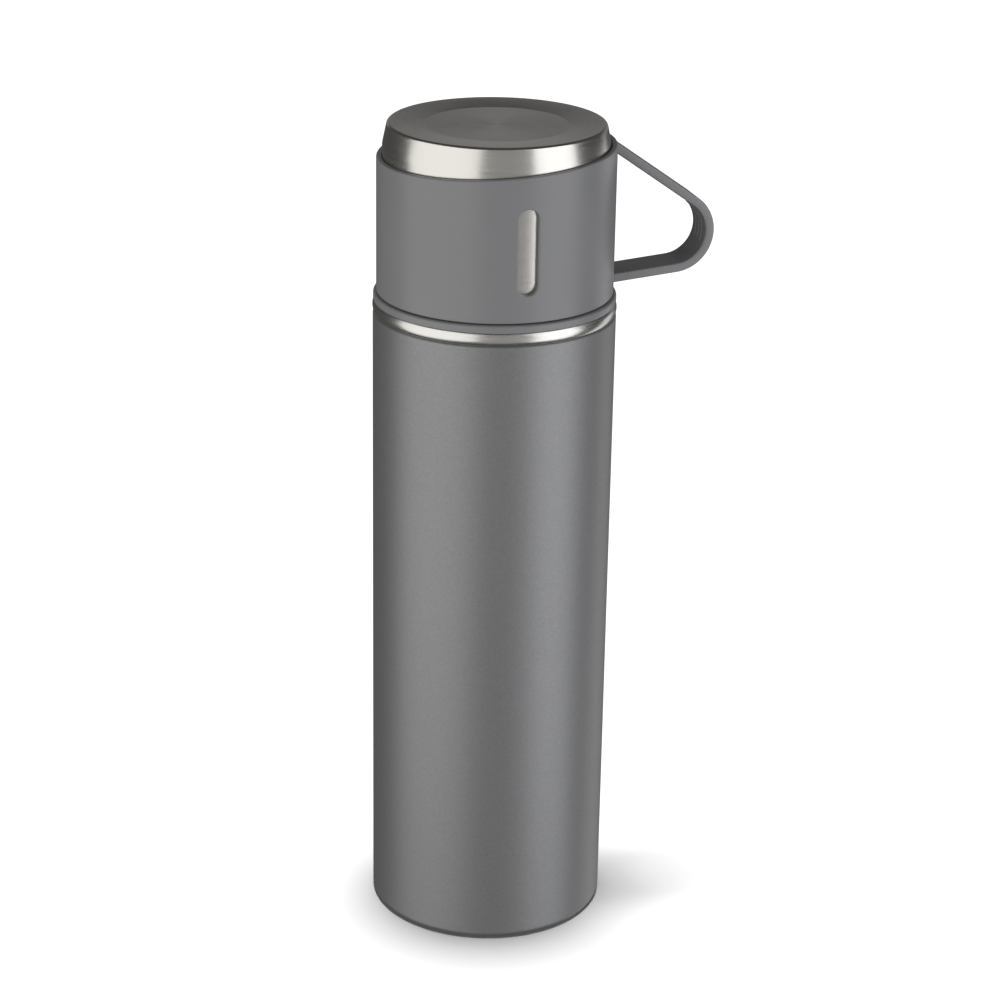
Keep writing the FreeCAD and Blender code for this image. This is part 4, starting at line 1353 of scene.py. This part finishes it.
@dataclass
class Studio:
    """White floor, tall softboxes on both sides, a light from above and the camera."""

    lens: float = 97.4
    distance: float = 0.7997
    aim_height: float = 0.128
    elevation: float = 21.388
    azimuth: float = 15.71
    yaw: float = 0.196
    roll: float = 0.981
    floor_radius: float = 40.0
    floor_sides: int = 96
    floor_colour: str = "#e4e4e4"
    floor_roughness: float = 0.9
    world_colour: str = "#5a5a5a"
    world_strength: float = 0.7
    sun_strength: float = 4.6
    sun_angle: float = 11.0
    sun_elevation: float = 87.8
    boxes: tuple[Softbox, ...] = (
        Softbox("left box", -55.5, 2, 1.3, 2.2, 2.3, 20.4),
        Softbox("right box", 61, 2, 1.3, 1.15, 2.3, 14.6, "#fafbff"),
        Softbox("front fill", 11, -4, 1.5, 1.3, 2.6, 2.9),
        Softbox("right rim", 130, -28, 1.5, 0.6, 1.5, 2.6),
        Softbox("back panel", 172, 8, 1.8, 2.6, 0.75, 1.15))

    def floor(self) -> Thing:
        """Pale sheet that the flask stands on. Polished steel doesn't mirror it."""
        mesh = bpy.data.meshes.new("floor")
        shaped = bmesh.new()
        bmesh.ops.create_circle(shaped, cap_ends=True, segments=self.floor_sides, radius=self.floor_radius)
        shaped.to_mesh(mesh)
        shaped.free()
        material = bpy.data.materials.new("white paper")
        material.use_nodes = True
        shader = material.node_tree.nodes["Principled BSDF"]
        shader.inputs["Base Color"].default_value = linear(self.floor_colour)
        shader.inputs["Roughness"].default_value = self.floor_roughness
        mesh.materials.append(material)
        made = bpy.data.objects.new("floor", mesh)
        made.visible_glossy = False
        made.visible_diffuse = False
        made.visible_shadow = False
        bpy.context.scene.collection.objects.link(made)
        return made

    def only(self, name: str, thing: Thing, state: str) -> bpy.types.Collection:
        """Group one object as what a light reaches (INCLUDE) or passes by (EXCLUDE)."""
        group = bpy.data.collections.new(name)
        group.objects.link(thing)
        group.collection_objects[0].light_linking.link_state = state
        return group

    def bearing(self, azimuth: float, elevation: float) -> Vector:
        """Direction away from the flask, with the azimuth counted from the camera's side."""
        turn, rise = math.radians(azimuth - self.azimuth), math.radians(elevation)
        return Vector((math.sin(turn) * math.cos(rise), -math.cos(turn) * math.cos(rise), math.sin(rise)))

    def box(self, light: Softbox, reach: bpy.types.Collection) -> None:
        """Hang one softbox.

        Args:
            light: Its place, size and power.
            reach: What it lights.
        """
        data = bpy.data.lights.new(light.name, "AREA")
        data.shape = "RECTANGLE"
        data.size, data.size_y = light.width, light.height
        data.energy = light.power
        data.color = linear(light.colour)[:3]
        away = self.bearing(light.azimuth, light.elevation)
        made = bpy.data.objects.new(light.name, data)
        made.location = Vector((0, 0, light.target)) + away * light.distance
        made.rotation_euler = away.to_track_quat("Z", "Y").to_euler()
        made.visible_camera = False
        made.light_linking.receiver_collection = reach
        bpy.context.scene.collection.objects.link(made)

    def sky(self, reach: bpy.types.Collection) -> None:
        """Broad light from above, a little behind, that keeps the floor even but for the foot's shadow."""
        data = bpy.data.lights.new("sky light", "SUN")
        data.energy = self.sun_strength
        data.angle = math.radians(self.sun_angle)
        made = bpy.data.objects.new("sky light", data)
        made.rotation_euler = self.bearing(180, self.sun_elevation).to_track_quat("Z", "Y").to_euler()
        made.light_linking.receiver_collection = reach
        bpy.context.scene.collection.objects.link(made)

    def surround(self) -> None:
        """Even grey room, seen in the polished steel."""
        world = bpy.data.worlds.new("room")
        world.use_nodes = True
        back = world.node_tree.nodes["Background"]
        back.inputs["Color"].default_value = linear(self.world_colour)
        back.inputs["Strength"].default_value = self.world_strength
        bpy.context.scene.world = world

    def camera(self) -> None:
        """Camera with a long lens, looking down on the handle's near side."""
        rise, yaw = math.radians(self.elevation), math.radians(self.yaw)
        turn = Matrix.Rotation(-math.radians(self.azimuth), 3, "Z")
        level = Vector((0, math.cos(rise), -math.sin(rise)))
        place = turn @ (Vector((0, 0, self.aim_height)) - level * self.distance)
        ahead = turn @ Vector((
            math.sin(yaw) * math.cos(rise), math.cos(yaw) * math.cos(rise), -math.sin(rise)))
        right = ahead.cross(Vector((0, 0, 1))).normalized()
        up = right.cross(ahead)
        roll = math.radians(self.roll)
        tilted_right = right * math.cos(roll) + up * math.sin(roll)
        tilted_up = up * math.cos(roll) - right * math.sin(roll)
        data = bpy.data.cameras.new("camera")
        data.sensor_width = 36
        data.lens = self.lens
        data.clip_start, data.clip_end = 0.05, 30
        made = bpy.data.objects.new("camera", data)
        made.matrix_world = Matrix.Translation(place) @ Matrix(
            (tilted_right, tilted_up, -ahead)).transposed().to_4x4()
        bpy.context.scene.collection.objects.link(made)
        bpy.context.scene.camera = made
        bpy.context.scene.view_settings.view_transform = "Standard"

    def build(self) -> None:
        """Set up the whole studio."""
        floor = self.floor()
        all_but_floor = self.only("all but the floor", floor, "EXCLUDE")
        for light in self.boxes:
            self.box(light, all_but_floor)
        self.sky(self.only("the floor alone", floor, "INCLUDE"))
        self.surround()
        self.camera()


def main() -> None:
    """Build the flask from the ground up, then the studio round it."""
    logging.basicConfig(level=logging.INFO, format="%(name)s: %(message)s")
    shop = Workshop.opened()
    for assembly in (Bottle(), Collar(), Cup(), Stopper(), Button()):
        assembly.build(shop)
    Studio().build()


if __name__ == "__main__":
    main()
